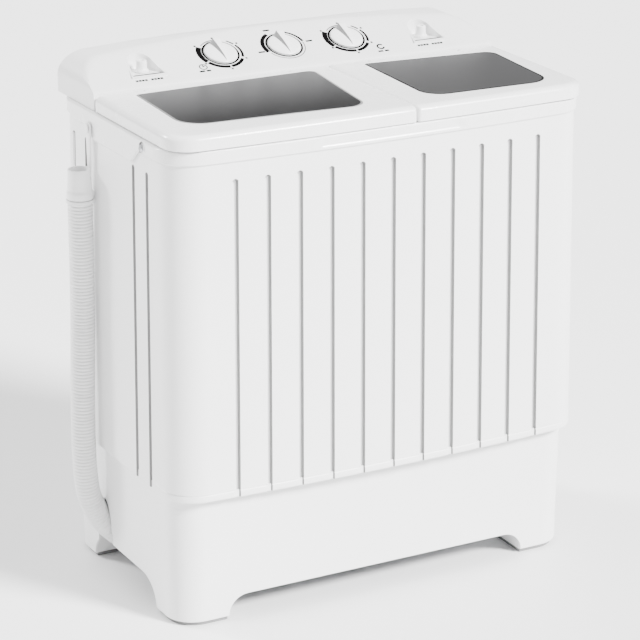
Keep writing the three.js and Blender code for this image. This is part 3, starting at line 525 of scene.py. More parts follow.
def make_strap(cuff_top):
    """The tapered tongue that hangs the cuff from its peg."""
    x = cad("hose_strap")[0][0]
    outline = [(cuff_top - 7.4, 3.8), (cuff_top - 2, 4.0), (cuff_top + 12, 4.6), (cuff_top + 30, 5.6)]
    round_peg = ((-10, 6.8), (-4, 7.6), (0, 7.9), (4, 6.9), (7, 4.2), (7.9, 1.2))
    outline += [(PEG_Z + d, half) for d, half in round_peg]
    section = [(0.3, -1), (0, -0.85), (-0.2, 0), (0, 0.85), (0.3, 1)]
    section += [(2.2, 1), (2.4, 0.9), (2.4, -0.9), (2.2, -1)]
    rows = [[(x + dx, HOSE_Y + half * share, z) for dx, share in section] for z, half in outline]
    return make_piece("hose_strap_tongue", *solid(rows), KNOB_WHITE,
                      slot="white_satin", replaces=("hose_strap",))


make_camera()
make_hose()


# ---- walls with grooves, arches and steps ----
def wall_outline(half_x, front, back, corner, stations, arc=10):
    """Points round a rounded rectangle, counter-clockwise from the front-left corner.

    Each is (x, y, normal x, normal y, side, place along that side); a corner's side is "corner".
    """
    points = []

    def arc_points(cx, cy, first):
        for k in range(arc + 1):
            a = radians(first + 90 * k / arc)
            c, s = cos(a), sin(a)
            points.append((cx + corner * c, cy + corner * s, c, s, "corner", 0))

    arc_points(-half_x + corner, front + corner, 180)
    points.extend((x, front, 0, -1, "front", x) for x in sorted(stations["front"]))
    arc_points(half_x - corner, front + corner, 270)
    points.extend((half_x, y, 1, 0, "right", y) for y in sorted(stations["right"]))
    arc_points(half_x - corner, back - corner, 0)
    points.extend((x, back, 0, 1, "back", x) for x in sorted(stations["back"], reverse=True))
    arc_points(-half_x + corner, back - corner, 90)
    points.extend((-half_x, y, -1, 0, "left", y) for y in sorted(stations["left"], reverse=True))
    return points


def wall_shell(outline, levels, height_at, push_at, thickness, grow):
    """A wall of given thickness round an outline.

    height_at(point, level) gives its heights, push_at how far it is pressed in, grow(z) its draft.
    """
    def ring(share, inward):
        points = []
        for p in outline:
            z = height_at(p, share)
            wide = grow(z)
            inset = inward + (push_at(p, z) if not inward else 0)
            points.append(((p[0] - p[2] * inset) * wide[0], (p[1] - p[3] * inset) * wide[1], z))
        return points
    rings = [ring(s, 0) for s in levels] + [ring(s, thickness) for s in reversed(levels)]
    return loft(rings, wrap=True)


def drafted(half_x, half_y, fixed_z, wide_z, extra):
    """A grow for wall_shell: nothing at fixed_z, extra millimetres at wide_z."""
    def grow(z):
        share = (fixed_z - z) / (fixed_z - wide_z)
        return 1 + share * extra / half_x, 1 + share * extra / half_y
    return grow


GROOVE_COLUMNS = (-0.62, -0.53, -0.46, -0.38, -0.2, 0, 0.2, 0.38, 0.46, 0.53, 0.62)


def groove_stations(centres, low, high):
    places = {low + 1, high - 1}
    for c in centres:
        places.update(c + share * GROOVE_WIDTH for share in GROOVE_COLUMNS)
    return places


def bowed(point, flat=-150):
    """Bulges the front of a wall forward, most at its middle."""
    x, y, z = point
    return (x, y - BOW * max(0.0, 1 - (x / BOW_HALF) ** 2), z) if y < flat else point


def make_cabinet():
    fronts = [GROOVE_MIDDLE + (i - (GROOVE_COUNT - 1) / 2) * GROOVE_PITCH for i in range(GROOVE_COUNT)]
    flat_x, flat_y = HALF_WIDTH - CORNER, -FRONT - CORNER
    side_stations = groove_stations(SIDE_GROOVES, -flat_y, flat_y)
    stations = {"front": groove_stations(fronts, -flat_x, flat_x), "left": side_stations,
                "right": side_stations, "back": set(span(-flat_x + 1, flat_x - 1, 12))}
    outline = wall_outline(HALF_WIDTH, FRONT, BACK, CORNER, stations)
    low_z, high_z = CABINET_LOW_Z, SEAM_Z - 0.4
    rim = [RIM_Z + d for d in (-1.6, -0.7, 0, 0.6, 1.1, 1.8, 2.8)]
    heights = sorted({low_z, low_z + 0.5, low_z + 1.6, 185, *rim, *span(230, 580, 7),
                      *[GROOVE_TOP - d for d in (6, 4.6, 3.8, 3, 2.2, 1.4, 0.7, 0, -0.8, -2)], high_z})
    levels = [(z - low_z) / (high_z - low_z) for z in heights]

    def height_at(p, share):
        return low_z + share * (high_z - low_z)

    def push_at(p, z):
        push = 0.0
        if z < low_z + 1.5:
            push = 0.9 * (1 - (z - low_z) / 1.5) ** 2
        on_rim = p[4] in ("front", "back", "corner") or abs(p[5]) > 98
        if on_rim:
            push += 1.1 * max(0.0, 1 - abs(z - RIM_Z) / 1.1)
        centres = fronts if p[4] == "front" else SIDE_GROOVES if p[4] in ("left", "right") else ()
        for c in centres:
            off = abs(p[5] - c)
            if off > GROOVE_WIDTH:
                continue
            end = GROOVE_TOP - GROOVE_WIDTH / 2
            distance = hypot(off, z - end) if z > end else off
            depth = GROOVE_DEPTH * (1 - smoothstep(0.36 * GROOVE_WIDTH, 0.54 * GROOVE_WIDTH, distance))
            push = max(push, depth * (1 if z > RIM_Z else 0.45))
        return push

    draft = drafted(HALF_WIDTH, BACK, 635, low_z, DRAFT)
    verts, faces = wall_shell(outline, levels, height_at, push_at, 7, draft)
    cabinet = make_piece("cabinet_shell", [bowed(v) for v in verts], faces, [CABINET_WHITE, RECESS_PAINTED_SHADE],
                         replaces=("cabinet",), angle=50)
    # Painted shade: the groove walls turned from the key light and the groove ends take the dark grey.
    shade(cabinet, painted_groove_shade)
    cut_from(cabinet, rounded_box(REAR_OPENING, *REAR_OPENING_Z, 6))


def painted_groove_shade(x, y, z, normal):
    """True on one wall and on the top end of a groove, which get a painted shade of dark grey."""
    in_front = y < -150 and abs(x) < GROOVED_HALF_X and z < GROOVE_TOP + 1
    in_side = abs(x) > 280 and abs(y) < GROOVED_HALF_Y and z < GROOVE_TOP + 1
    wall = (in_front and normal.x < -0.3) or (in_side and normal.y < -0.3)
    end = (in_front or in_side) and normal.z < -0.25 and z > GROOVE_TOP - 8
    return wall or end


def arch_z(place, low, high, top, fillet, foot):
    """Height of a wall's lower edge under an arch that spans low..high."""
    edge = min(place - low, high - place)
    if edge <= 0:
        return foot
    if edge >= fillet:
        return top
    return foot + (top - foot) * sqrt(1 - (1 - edge / fillet) ** 2)


def notch_z(y):
    """Top of the opening that lets the hose through the left wall, or 0 away from it."""
    top = 0
    off = y - HOSE_HOLE_Y
    if abs(off) < HOSE_HOLE_RADIUS:
        top = HOSE_HOLE_Z + sqrt(HOSE_HOLE_RADIUS ** 2 - off ** 2)
    clear, off = HOSE_RADIUS + HOSE_CLEARANCE, y - HOSE_Y
    if abs(off) < clear:
        inner = HOSE_BEND_RADIUS - sqrt(clear ** 2 - off ** 2)
        passed = sqrt(max(0.0, inner ** 2 - WALL_FROM_BEND ** 2))
        top = max(top, HOSE_BEND_Z - passed)
    return min(top, HOSE_HOLE_TOP)


def make_base():
    half_x, front, back, corner = 297, -160, 174, 40
    flat_x = half_x - corner
    turns = [radians(a) for a in range(0, 91, 9)]
    arch_x = [FRONT_ARCH_HALF - FRONT_ARCH_FILLET * (1 - cos(a)) for a in turns]
    turning = [*arch_x, FRONT_ARCH_HALF + 0.02, flat_x - 1, 236]
    xs = {*turning, *[-x for x in turning], *span(-190, 190, 12)}
    bend = [SIDE_ARCH_FILLET * (1 - cos(a)) for a in turns]
    ys = {*[SIDE_ARCH_FRONT + d for d in bend], *[SIDE_ARCH_REAR - d for d in bend],
          SIDE_ARCH_FRONT - 0.02, SIDE_ARCH_REAR + 0.02,
          *span(SIDE_ARCH_FRONT + 44, SIDE_ARCH_REAR - 44, 8),
          front + corner + 1, back - corner - 1, -105, 118}
    swings = [sin(radians(a)) for a in range(-90, 91, 9)]
    notch = {HOSE_HOLE_Y + HOSE_HOLE_RADIUS * swing for swing in swings}
    notch |= {HOSE_Y + (HOSE_RADIUS + HOSE_CLEARANCE) * swing for swing in swings}
    stations = {"front": xs, "back": xs, "right": ys, "left": ys | notch}
    outline = wall_outline(half_x, front, back, corner, stations)
    top, foot = BASE_TOP_Z, BASE_LOW_Z

    def height_at(p, share):
        low = foot
        if p[4] in ("front", "back"):
            low = arch_z(p[5], -FRONT_ARCH_HALF, FRONT_ARCH_HALF, FRONT_ARCH_TOP, FRONT_ARCH_FILLET, foot)
        elif p[4] in ("left", "right"):
            low = arch_z(p[5], SIDE_ARCH_FRONT, SIDE_ARCH_REAR, SIDE_ARCH_TOP, SIDE_ARCH_FILLET, foot)
            if p[4] == "left":
                low = max(low, notch_z(p[5]))
        return low + share * (top - low)

    def push_at(p, z):
        return 0.8 if z < height_at(p, 0.0) + 0.01 else 0

    levels = [0, 0.004, 0.012, 0.05, 0.12, 0.22, 0.34, 0.46, 0.58, 0.7, 0.85, 1]
    shell = wall_shell(outline, levels, height_at, push_at, 3.5, drafted(half_x, back, 6, 192, 2))
    make_piece("base_skirt", *shell, CABINET_WHITE, replaces=("base",), angle=50)
    make_legs(half_x, front, back, corner, foot)


def make_legs(half_x, front, back, corner, foot):
    """Each corner of the base is a hollow leg with two inner walls, standing on its pad."""
    inner_x, inner_front, inner_back = 222, -91, 106
    inset = 1.5
    for side_name, sx in (("left", -1), ("right", 1)):
        for end_name, y_out, y_in in (("front", front, inner_front), ("rear", back, inner_back)):
            x0, x1 = sorted((sx * (half_x - inset), sx * inner_x))
            y0, y1 = sorted((y_out + (inset if end_name == "front" else -inset), y_in))
            radii = {(-1, "front"): [corner, 3, 3, 3], (1, "front"): [3, corner, 3, 3],
                     (1, "rear"): [3, 3, corner, 3], (-1, "rear"): [3, 3, 3, corner]}[(sx, end_name)]

            def ring(shrink, z):
                return inset_ring((x0, x1, y0, y1), radii, shrink, z, 8, 3, smallest=1)

            leg = solid([ring(0.6, foot), ring(0, foot + 0.8), ring(0, 61.5)])
            make_piece(f"leg_{end_name}_{side_name}", *leg, CABINET_WHITE)
            pad = solid([ring(3.4, 0), ring(2.6, 0.8), ring(2.6, foot - 0.4)])
            make_piece(f"foot_pad_{end_name}_{side_name}", *pad, FOOT_PLASTIC, slot="white_satin",
                       replaces=(f"foot_{end_name}_{side_name}",))


# ---- deck ----
def make_deck():
    half_x, front, back, corner = DECK_HALF_WIDTH, FRONT - 3, BACK + 3, CORNER + 4
    tab = [-86, -78, -68, -58, 58, 66, 76, 84, 92]
    ys = {*tab, *span(-50, 50, 6), front + corner + 1, back - corner - 1, -120, 110}
    xs = {*span(-250, 250, 40), -112, -106, -100, -96, 96, 100, 106, 112}
    stations = {"front": xs, "back": set(span(-250, 250, 10)), "left": ys, "right": ys}
    outline = wall_outline(half_x, front, back, corner, stations)

    def skirt_low(p):
        """The skirt reaches lower along the middle of each side."""
        if p[4] not in ("left", "right"):
            return SEAM_Z
        if p[5] < 0:
            return SEAM_Z - SKIRT_DROP * smoothstep(-80, -57, p[5])
        return SEAM_Z - SKIRT_REAR_DROP - (SKIRT_DROP - SKIRT_REAR_DROP) * (1 - smoothstep(57, 84, p[5]))

    def height_at(p, share):
        low = skirt_low(p)
        return low + share * (DECK_Z - low)

    def push_at(p, z):
        low = skirt_low(p)
        push = 0.9 * max(0, 1 - (z - low) / 1.2)
        push += 2.2 * max(0, (z - (DECK_Z - 2.2)) / 2.2) ** 2
        if p[4] == "front":
            end = 104 - (z - 628) * 0.35
            inside = smoothstep(-end - 3, 3 - end, p[5]) * (1 - smoothstep(end - 3, end + 3, p[5]))
            push += 1.7 * inside * smoothstep(627, 630.5, z)
        return push

    levels = [0, 0.03, 0.06, 0.12, 0.19, 0.26, 0.33, 0.4, 0.55, 0.7, 0.85, 0.9, 0.93, 0.96, 0.98, 1]
    verts, faces = wall_shell(outline, levels, height_at, push_at, 3.2, lambda z: (1, 1))
    skirt = make_piece("deck_skirt", [bowed(v) for v in verts], faces, [WHITE, RECESS_PAINTED_SHADE],
                       replaces=("top_deck",), angle=50)

    for side in (-1, 1):
        cut_from(skirt, screw_scoop(side, half_x))

    # Painted shade: the walls of each screw scoop take the dark grey, for the shade in the hollow.
    def painted_scoop_shade(x, y, z, normal):
        near = abs(x) > half_x - 3.2 and abs(y - SCREW_Y) < 10 and z < DECK_Z - 1
        return near and abs(normal.x) < 0.5

    shade(skirt, painted_scoop_shade)

    plan = inset_ring((-half_x, half_x, front, back), [corner] * 4, 2.4, 0, 10, 40)
    outer = [bowed(p)[:2] for p in plan]
    wash_hole = rounded_quad(rectangle(*WASH_MOUTH), [WASH_MOUTH_CORNER] * 4, 10, 4)
    spin_hole = rounded_quad(rectangle(*SPIN_MOUTH), [SPIN_MOUTH_CORNER] * 4, 12, 4)
    plate("deck_top", outer, [wash_hole, spin_hole], DECK_Z - 3.4, DECK_Z, 0.8, WHITE, angle=35)
    deck_collar("wash_collar", WASH_MOUTH, WASH_MOUTH_CORNER, 628)
    deck_collar("spin_collar", SPIN_MOUTH, SPIN_MOUTH_CORNER, 619)
    make_hinge_lugs()


def deck_collar(name, edges, corner, low):
    """The lip that turns down into a tub round its opening."""
    def ring(inset, z):
        return inset_ring(edges, [corner] * 4, inset, z, 12, 4)

    rings = [ring(0.6, DECK_Z - 0.6), ring(1, DECK_Z - 1), ring(3.2, low + 1.2), ring(2.6, low),
             ring(1.4, low), ring(0.8, low + 1), ring(-1, DECK_Z - 4), ring(-1, DECK_Z - 2)]
    make_piece(name, *loft(rings, wrap=True), WHITE)


def screw_scoop(side, half_x):
    """The rounded hollow that each side screw sits in."""
    y, z, half = SCREW_Y, 630, 9
    arch = [(y - half, z - 8), (y + half, z - 8)]
    for k in range(13):
        a = pi * k / 12
        arch.append((y + half * cos(a), z + 1.5 + half * sin(a)))
    return solid([[(side * x, a, b) for a, b in arch] for x in (half_x - 2.8, half_x + 4)])


def make_hinge_lugs():
    for lid, places in HINGE_LUGS.items():
        for n, x in enumerate(places, 1):
            ring = []
            for k in range(13):
                a = pi * k / 12
                ring.append((HINGE_Y + 5.4 * cos(a), HINGE_Z + 5.4 * sin(a)))
            ring += [(HINGE_Y - 5.4, DECK_Z - 1), (HINGE_Y + 5.4, DECK_Z - 1)]
            lug = solid([[(x + dx, y, z) for y, z in ring] for dx in (-3.9, 3.9)])
            make_piece(f"{lid}_hinge_lug_{n}", *lug, WHITE, bevel=0.5)


SCREW_PROFILE = [(0.2, 0.4), (4.6, 0.4), (4.8, 1.6), (4.0, 2.9), (2.4, 3.6), (0.2, 3.9)]
PEG_PROFILE = [(0.2, 0.4), (3.8, 0.4), (3.8, 4.6), (6.2, 4.8), (6.4, 5.6), (5.6, 6.5), (0.2, 6.6)]
FIXINGS = {"screw": (SCREW_PROFILE, STEEL, "steel"), "peg": (PEG_PROFILE, KNOB_WHITE, "white_satin")}


def make_side_fixings():
    """Screws in the sides of the deck, each in a rounded scoop, and the hose's peg."""
    for node, kind in (("side_screw_left_front", "screw"), ("side_screw_right_front", "screw"),
                       ("side_screw_right_rear", "peg"), ("hose_peg", "peg")):
        low, high = cad(node)
        side = -1 if low[0] < 0 else 1
        face = DECK_HALF_WIDTH * side
        y, z = (low[1] + high[1]) / 2, (low[2] + high[2]) / 2
        profile, material, slot = FIXINGS[kind]
        rings = [[(face + side * h, y + a, z + b) for a, b in circle(r, 32)] for r, h in profile]
        head = make_piece(f"{node}_head", *solid(rings), material, slot=slot, replaces=(node,))
        if kind == "screw":
            top = face + side * 4.4
            for across in ((0.5, 3.0), (3.0, 0.5)):
                x0, x1 = sorted((top, face + side * 2.6))
                cut_from(head, box_shape(x0, x1, y - across[0], y + across[0], z - across[1], z + across[1]))


# ---- lids ----
def lid_top(x, y):
    """Height of the lids' crowned top: it rises to the rear, and to the middle of the machine."""
    rise = min(1, max(0, (y + 184) / 200))
    return LID_TOP - 2.7 + rise + 1.6 * (1 - (x / HALF_WIDTH) ** 2)


def lid_outline(edges, insets, radii, arc=8, straight=14):
    """A lid's outline, inset by its own amount on each side: left, right, front, rear."""
    x0, x1, y0, y1 = edges
    left, right, front, rear = insets
    quad = rectangle(x0 + left, x1 - right, y0 + front, y1 - rear)
    shrink = [min(left, front), min(right, front), min(right, rear), min(left, rear)]
    rounds = [max(r - s, 0.6) for r, s in zip(radii, shrink)]
    outline = rounded_quad(quad, rounds, arc, straight)
    return [(x, y - BOW * (1 - (x / HALF_WIDTH) ** 2) * (1 - smoothstep(-170, 40, y))) for x, y in outline]


def make_lid(name, edges, soft_left, soft_right, window, window_radii, material, border):
    """A shallow tray turned upside down, crowned, with soft edges and a recess for its window."""
    radii = [34 if soft_left else 4, 34 if soft_right else 4, 7 if soft_right else 3, 7 if soft_left else 3]
    left, right = (9 if soft_left else 2.5), (9 if soft_right else 2.5)
    body = f"{name}_lid_body"

    def ring(share_in, z_at):
        """share_in 0 is the widest outline; 1 is inside the rounding, where the crown starts."""
        insets = [left * share_in, right * share_in, 9 * share_in, 7 * share_in]
        return [(x, y, z_at(x, y)) for x, y in lid_outline(edges, insets, radii)]

    rings = []
    for degrees in (0, 12, 24, 38, 52, 66, 80, 90):
        a = radians(degrees)
        share, rise = 1 - cos(a), sin(a)
        rings.append(ring(share, lambda x, y, s=rise: lid_top(x, y) - 8.5 * (1 - s) - 0.1))
    window_ring = rounded_quad(window, window_radii, 8, 14)

    def blend_ring(t, dz=0.0):
        """t 0 is the crown's outer ring and 1 is the window's edge."""
        inner = ring(1.0, lambda x, y: 0)
        plan = [((1 - t) * a[0] + t * b[0], (1 - t) * a[1] + t * b[1]) for a, b in zip(inner, window_ring)]
        return [(x, y, lid_top(x, y) + dz) for x, y in plan]

    rings += [blend_ring(t) for t in (0.2, 0.4, 0.6, 0.8, 0.96)] + [blend_ring(1.0, -0.25)]

    def window_inset(inset, z_off):
        moved = []
        cx = sum(p[0] for p in window) / 4
        cy = sum(p[1] for p in window) / 4
        for x, y in window_ring:
            d = Vector((cx - x, cy - y)).normalized() * inset
            moved.append((x + d.x, y + d.y, lid_top(x, y) + z_off))
        return moved

    rings += [window_inset(0.3, -1.0), window_inset(0.35, -3.2), window_inset(7, -3.2), window_inset(7, -5.4)]
    rings += [ring(1.0, lambda x, y: lid_top(x, y) - 5.6), ring(0.5, lambda x, y: lid_top(x, y) - 7.5)]
    for share, lift in ((0.34, 0.4), (0.24, 0), (0.06, 0), (0, 0.6)):
        rings.append(ring(share, lambda x, y, above=lift: LID_BOTTOM + above))
    lid = make_piece(f"{name}_lid_shell", *loft(rings, wrap=True), WHITE, body=body,
                     replaces=(f"{name}_lid",), angle=42)
    for x in HINGE_LUGS[name]:
        cut_from(lid, box_shape(x - 4.8, x + 4.8, HINGE_Y - 8.5, HINGE_Y + 16, LID_BOTTOM - 3, HINGE_Z + 6.6),
                 box_shape(x - 4.8, x + 4.8, HINGE_Y - 1, HINGE_Y + 20, HINGE_Z - 1, LID_TOP + 8))
    make_window(name, window_inset, body, material, border)


def make_window(name, window_inset, body, material, border):
    """The smoked pane, following the lid's crown, inside the narrow band round its edge."""
    band = [window_inset(0.7, -2.9), window_inset(0.7, -0.3), window_inset(1.0, -0.1),
            window_inset(PANE_EDGE, -0.1), window_inset(PANE_EDGE, -2.9)]
    make_piece(f"{name}_window_edge", *loft(band, wrap=True), border, body=body,
               slot="smoked_window", angle=50)
    outer = window_inset(PANE_EDGE + 0.1, -0.15)
    centre = Vector((sum(p[0] for p in outer) / len(outer), sum(p[1] for p in outer) / len(outer), 0))
    rings = [window_inset(PANE_EDGE + 0.1, -2.9), outer]
    for share in (0.9, 0.75, 0.55, 0.35, 0.15, 0.02):
        ring = []
        for x, y, _ in outer:
            px, py = centre.x + (x - centre.x) * share, centre.y + (y - centre.y) * share
            ring.append((px, py, lid_top(px, py) - 0.15))
        rings.append(ring)
    make_piece(f"{name}_window_pane", *solid(rings), material, body=body,
               slot="smoked_window", replaces=(f"{name}_lid_window",), angle=50)


def make_lids():
    rear = HINGE_Y + (LID_TOP - LID_BOTTOM) / 2
    wash_window = [(-262, -128), (-14, -150), (9, 42), (-252, 39)]
    wash_edges = (-HALF_WIDTH, LID_SPLIT - LID_GAP / 2, LID_FRONT, rear)
    make_lid("wash", wash_edges, True, False, wash_window, [36, 26, 10, 5], WASH_WINDOW, WINDOW_BORDER)
    spin_window = [(75, -147), (262, -149), (277, 27), (84, 42)]
    spin_edges = (LID_SPLIT + LID_GAP / 2, HALF_WIDTH, LID_FRONT, rear)
    make_lid("spin", spin_edges, False, True, spin_window, [30, 36, 16, 5], SPIN_WINDOW, BLACK_EDGE)


# ---- control panel ----
def face_point(x, along, lift=0.0):
    """A point on the panel's sloping face: x across, `along` up the slope, `lift` off it."""
    c, s = cos(PANEL_SLOPE), sin(PANEL_SLOPE)
    return (x, PANEL_FRONT + along * c - lift * s, PANEL_FRONT_TOP + along * s + lift * c)


def end_height(x):
    """Highest the panel may be at x: level across the middle, then rounding down at each end."""
    over = abs(x) - PANEL_ROUND_X
    crown = PANEL_TOP_Z - 8.2 * (x / 250) ** 2
    if over <= 0:
        return crown
    return PANEL_END_Z + (crown - PANEL_END_Z) * sqrt(max(0.0, 1 - (over / PANEL_ROUND) ** 2))


def make_panel():
    low = PANEL_LOW_Z + 0.2
    profile = [(62.6, low), (62.6, 652), (62.6, 662), (62.9, 664.1), (64.2, 665.5)]
    profile += [face_point(0, s)[1:] for s in (3, 8, 16, 26, 36, 46, 56, 66, 76, 86, 93)]
    y_end, z_end = face_point(0, PANEL_LENGTH)[1:]
    brow = ((-1.5, -1), (1, -0.4), (5, -0.1), (14, -0.5))
    profile += [(y_end + dy, z_end + dz) for dy, dz in brow]
    profile += [(174, z_end - 2.4), (178, z_end - 4.8), (179.8, z_end - 8.5), (180, z_end - 16)]
    profile += [(180, 670), (180, low)]
    inner = [(y + (3 if y < 120 else -3), min(z, 661 if y < 70 else z) - 3) for y, z in profile]
    ends = [PANEL_ROUND_X + PANEL_ROUND * sin(radians(a)) for a in range(6, 91, 6)]
    stations = sorted({*span(-PANEL_ROUND_X, PANEL_ROUND_X, 28), *ends, *[-x for x in ends]})

    def section(points, x, roof):
        return [(x, y, min(z, max(roof(x), PANEL_END_Z))) for y, z in points]

    rings = [section(profile, x, end_height) for x in stations]
    outer = solid(rings)
    panel = make_piece("panel_housing", *outer, PANEL_WHITE, replaces=("control_panel",), angle=32)
    room = [(66.5, 637)] + [(y, z) for y, z in inner if z > low - 2] + [(176.5, 637)]
    hollow = [section(room, x, lambda v: end_height(v) - 3.4) for x in stations if abs(x) < 294]
    cut_from(panel, solid(hollow))
    for x in (-INLET_X, INLET_X):
        cut_from(panel, pocket_cutter(x))
        pocket_liner(x)
    for x in KNOB_X.values():
        cut_from(panel, face_disc(x, KNOB_ALONG, 5, -8, 6))


def face_disc(x, along, radius, low, high, sides=32):
    plan = circle(radius, sides)
    return solid([[face_point(x + a, along + b, lift) for a, b in plan] for lift in (low, high)])


def pocket_plan(x, grow=0.0):
    """Plan of an inlet pocket: straight at the front, arched at the rear."""
    points = [(x - 23 - grow, INLET_FRONT - grow), (x + 23 + grow, INLET_FRONT - grow)]
    for k in range(17):
        a = pi * k / 16
        points.append((x + (17 + grow) * cos(a), 110 + (18 + grow) * sin(a)))
    return points


def pocket_cutter(x):
    low = [(px, py, INLET_FLOOR) for px, py in pocket_plan(x, -1.5)]
    foot = [(px, py, INLET_FLOOR + 1.5) for px, py in pocket_plan(x, -0.4)]
    high = [(px, py, 720) for px, py in pocket_plan(x, 1.5)]
    return solid([low, foot, high])


def pocket_liner(x):
    """The pocket's own thin wall under the panel's skin."""
    side = "wash" if x < 0 else "spin"
    rings = []
    floor = INLET_FLOOR
    for grow, z in ((-1.5, floor), (-0.4, floor + 1.5), (0.0, None), (2.6, None), (2.0, floor - 2)):
        ring = []
        for px, py in pocket_plan(x, grow):
            surface = PANEL_FRONT_TOP + (py - PANEL_FRONT) * tan(PANEL_SLOPE) - 1.2
            ring.append((px, py, max(surface, floor + 1) if z is None else z))
        rings.append(ring)
    make_piece(f"{side}_inlet_pocket", *solid(rings), PANEL_WHITE)
    top = INLET_HEIGHT
    spigot = [(0.2, top - 8), (3.4, top - 8), (3.5, top - 0.5), (4.2, top), (5.8, top), (6.6, top - 0.8)]
    spigot += [(6.9, top - 3), (7.2, 5.2), (8.2, 3.6), (9.3, 2.6), (9.3, 0.4), (0.2, 0.4)]
    make_piece(f"{side}_inlet_spigot", *lathe(spigot, (x, INLET_Y, INLET_FLOOR), 40), KNOB_WHITE,
               replaces=(f"{side}_water_inlet",))


def knob_shape(x):
    """A domed disc with a grip that runs from a low front tip to a high, wide rear."""
    dome = [(20.5, 1.0), (22.3, 1.1), (KNOB_RADIUS, 1.4), (22.2, 2.0), (21, 2.8)]
    dome += [(17, 3.8), (12, 4.5), (6, 4.9), (0.4, 5)]
    disc = solid([[face_point(x + a, KNOB_ALONG + b, lift) for a, b in circle(r, 48)] for r, lift in dome])
    sections = []
    shares = (0, 0.25, 0.55, 0.85, 1)
    flanks = [(-1, share) for share in shares] + [(1, share) for share in reversed(shares)]
    grip = [(-20.4, 0.6, 0.3, 3.0), (-18, 1.7, 0.6, 4.6), (-12, 3.6, 1.3, 6.6), (-5, 5.4, 2.2, 8.2)]
    grip += [(3, 7.0, 3.2, 9.5), (10, 8.2, 4.1, 10.4), (16, 8.8, 4.8, 10.9), (19.5, 8.5, 4.6, 10.8)]
    grip += [(21.2, 7.6, 4.0, 10.0), (21.8, 7.0, 3.4, 6)]
    for v, base_half, top_half, height in grip:
        ring = []
        for side, share in flanks:
            half = base_half + (top_half - base_half) * (share ** 0.7)
            ring.append(face_point(x + side * half, KNOB_ALONG + v, 1.6 + (height - 1.6) * share))
        sections.append(ring)
    return merged(disc, solid(sections))


def arc_print(x, along, radius, first, last, width_first, width_last, steps=None):
    """A printed arc on the face, from one angle to another, whose width may change along it."""
    steps = steps or max(3, int(abs(last - first) / 5))
    top, bottom = [], []
    for k in range(steps + 1):
        a = radians(first + (last - first) * k / steps)
        half = (width_first + (width_last - width_first) * k / steps) / 2
        for out in (radius - half, radius + half):
            top.append(face_point(x + out * cos(a), along + out * sin(a), PRINT_LIFT))
            bottom.append(face_point(x + out * cos(a), along + out * sin(a), PRINT_LIFT - 0.5))
    rings = [[bottom[2 * k], bottom[2 * k + 1], top[2 * k + 1], top[2 * k]] for k in range(steps + 1)]
    return solid(rings)


def dash_print(x, along, width, height, turn=0.0):
    """A short printed bar."""
    c, s = cos(radians(turn)), sin(radians(turn))
    corners = rectangle(-width / 2, width / 2, -height / 2, height / 2)
    turned = [(x + a * c - b * s, along + a * s + b * c) for a, b in corners]
    return solid([[face_point(px, py, lift) for px, py in turned] for lift in (PRINT_LIFT - 0.5, PRINT_LIFT)])


def make_prints():
    prints, greys = [], []
    for name, x in KNOB_X.items():
        prints.append(arc_print(x, KNOB_ALONG, 24.6, 0, 360, 2.6, 2.6, steps=72))
        if name == "selector":
            prints.append(arc_print(x, KNOB_ALONG, 30, 200, 118, 6.2, 5.0))
            prints.append(arc_print(x, KNOB_ALONG, 30, 72, 8, 2.6, 3.6))
            greys.append(arc_print(x, KNOB_ALONG, 29, 208, 365, 1.2, 1.2))
            for turn in (194, 106, 4):
                a = radians(turn)
                prints.append(dash_print(x + 39 * cos(a), KNOB_ALONG + 37 * sin(a), 9.5, 2.8))
            continue
        greys.append(arc_print(x, KNOB_ALONG, 28.4, 137, 89, 1.2, 1.8))
        scale = [(146, 210, 7.4, 6.4), (214, 272, 5.4, 5.2), (276, 326, 5.0, 4.4), (334, 385, 3.6, 2.8)]
        scale.append((391, 412, 2.4, 1.8))
        for first, last, w0, w1 in scale:
            prints.append(arc_print(x, KNOB_ALONG, 30, first, last, w0, w1))
        for turn, out in ((145, 35.6), (212, 35), (273, 35.2), (331, 35), (388, 35), (87, 33)):
            a = radians(turn)
            prints.append(dash_print(x + out * cos(a), KNOB_ALONG + out * sin(a), 2.8, 2.8))
    for x in (-INLET_X, INLET_X):
        prints += [dash_print(x - 21 + 4.4 * k, 14, 3.4, 3.2) for k in (0, 1, 2, 3, 5, 6, 7, 8)]
    clock = [arc_print(-131.5, 26, 5.2, 0, 360, 1.3, 1.3, steps=32)]
    clock += [dash_print(-131.5, 28, 1.2, 4.2), dash_print(-130.3, 27, 3.4, 1.2, 35)]
    prints += clock + [arc_print(134, 22, 4.6, 40, 340, 2.4, 2.4, steps=24)]
    for x, along in ((-132, 17.2), (134, 12.2)):
        prints += [dash_print(x - 4.6, along, 7.4, 3), dash_print(x + 4.8, along, 6, 3)]
    make_piece("panel_prints", *merged(*prints), INK, slot="painted_steel", angle=20)
    make_piece("panel_grey_prints", *merged(*greys), GREY_INK, slot="painted_steel", angle=20)


def make_knobs():
    bodies = {"wash_timer": "wash_knob_body", "selector": "selector_body", "spin_timer": "spin_knob_body"}
    for name, x in KNOB_X.items():
        shape = merged(knob_shape(x), face_disc(x, KNOB_ALONG, 3.1, -9.3, 3))
        knob = make_piece(f"{name}_dial", *shape, [KNOB_WHITE, KNOB_FLANK_PAINTED_SHADE], body=bodies[name],
                          replaces=(f"{name}_knob",), angle=38)
        # Painted shade: the grip's left-facing flank takes the dark grey.
        shade(knob, lambda fx, _, __, normal: abs(fx - x) < 9 and normal.y < 0.6 and normal.x < -0.55)


make_cabinet()
make_base()
make_deck()
make_side_fixings()
make_lids()
make_panel()
make_prints()
make_knobs()


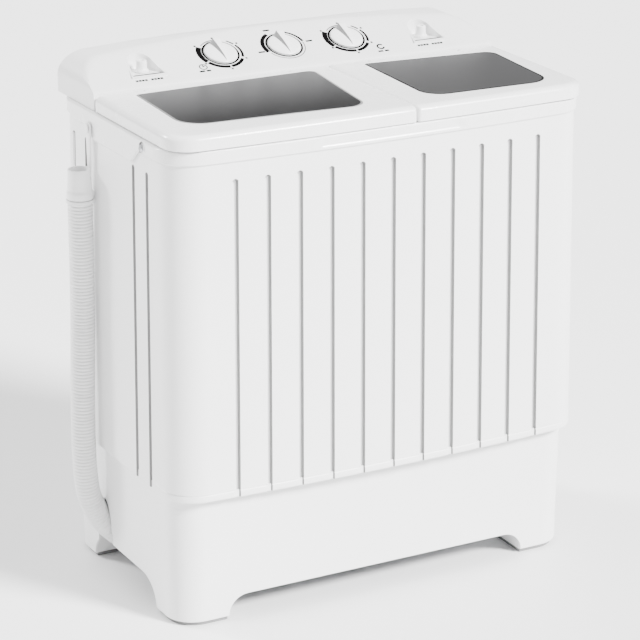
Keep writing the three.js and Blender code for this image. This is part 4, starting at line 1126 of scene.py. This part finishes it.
# ---- CAD nodes that stay, with finished materials ----
def finish_cad_nodes():
    finishes = {
        TUB_PLASTIC: ("wash_tub", "overflow_grille", "spin_tub", "spin_basket", "drain_valve", "drain_elbow"),
        BLUE_GREY: ("pulsator", "lint_filter", "balance_ring", "spin_press_cap", "wash_timer",
                    "selector_switch", "spin_timer"),
        STEEL: ("pulsator_shaft", "wash_motor_shaft", "spin_shaft", "brake_drum", "brake_pivot",
                "wash_hinge_rod", "spin_hinge_rod", "motor_bracket"),
        PAINTED: ("shaft_housing", "driven_pulley", "motor_pulley", "wash_motor", "spin_motor",
                  "brake_lever"),
        RUBBER: ("wash_seal", "drive_belt", "bellows_seal", "spin_damper_1", "spin_damper_2",
                 "spin_damper_3", "cord_grommet"),
        SATIN: ("rear_cover",),
    }
    for material, nodes in finishes.items():
        for node in nodes:
            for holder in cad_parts[node].material_slots:
                holder.material = material


finish_cad_nodes()


# ---- stage ----
FLOOR_WHITE = (0.9, 0.9, 0.9)
WORLD_STRENGTH = 0.55


def make_stage():
    floor_material, tree, shader = new_material("studio_floor", FLOOR_WHITE, 0.6)
    mottled(tree, shader, FLOOR_WHITE, 0.01, 3)
    mesh = bpy.data.meshes.new("floor")
    mesh.from_pydata([(-12, -12, 0), (12, -12, 0), (12, 12, 0), (-12, 12, 0)], [], [(0, 1, 2, 3)])
    mesh.materials.append(floor_material)
    floor = add_object("floor", mesh)

    world = bpy.data.worlds.new("studio")
    world.use_nodes = True
    set_inputs(world.node_tree.nodes["Background"], Color=(1, 1, 1, 1), Strength=WORLD_STRENGTH)
    bpy.context.scene.world = world


def sun(name, heading, strength, softness):
    light = bpy.data.lights.new(name, "SUN")
    light.energy = strength
    light.angle = radians(softness)
    holder = add_object(name, light)
    holder.rotation_euler = Vector(heading).to_track_quat("-Z", "Y").to_euler()


make_stage()
sun("overhead", (0.1, 0.1, -1), 1.8, 60)
sun("front_right", (-0.5, 0.85, -0.68), 13.5, 14)
sun("left_rear", (0.6, -0.8, -0.55), 5, 14)
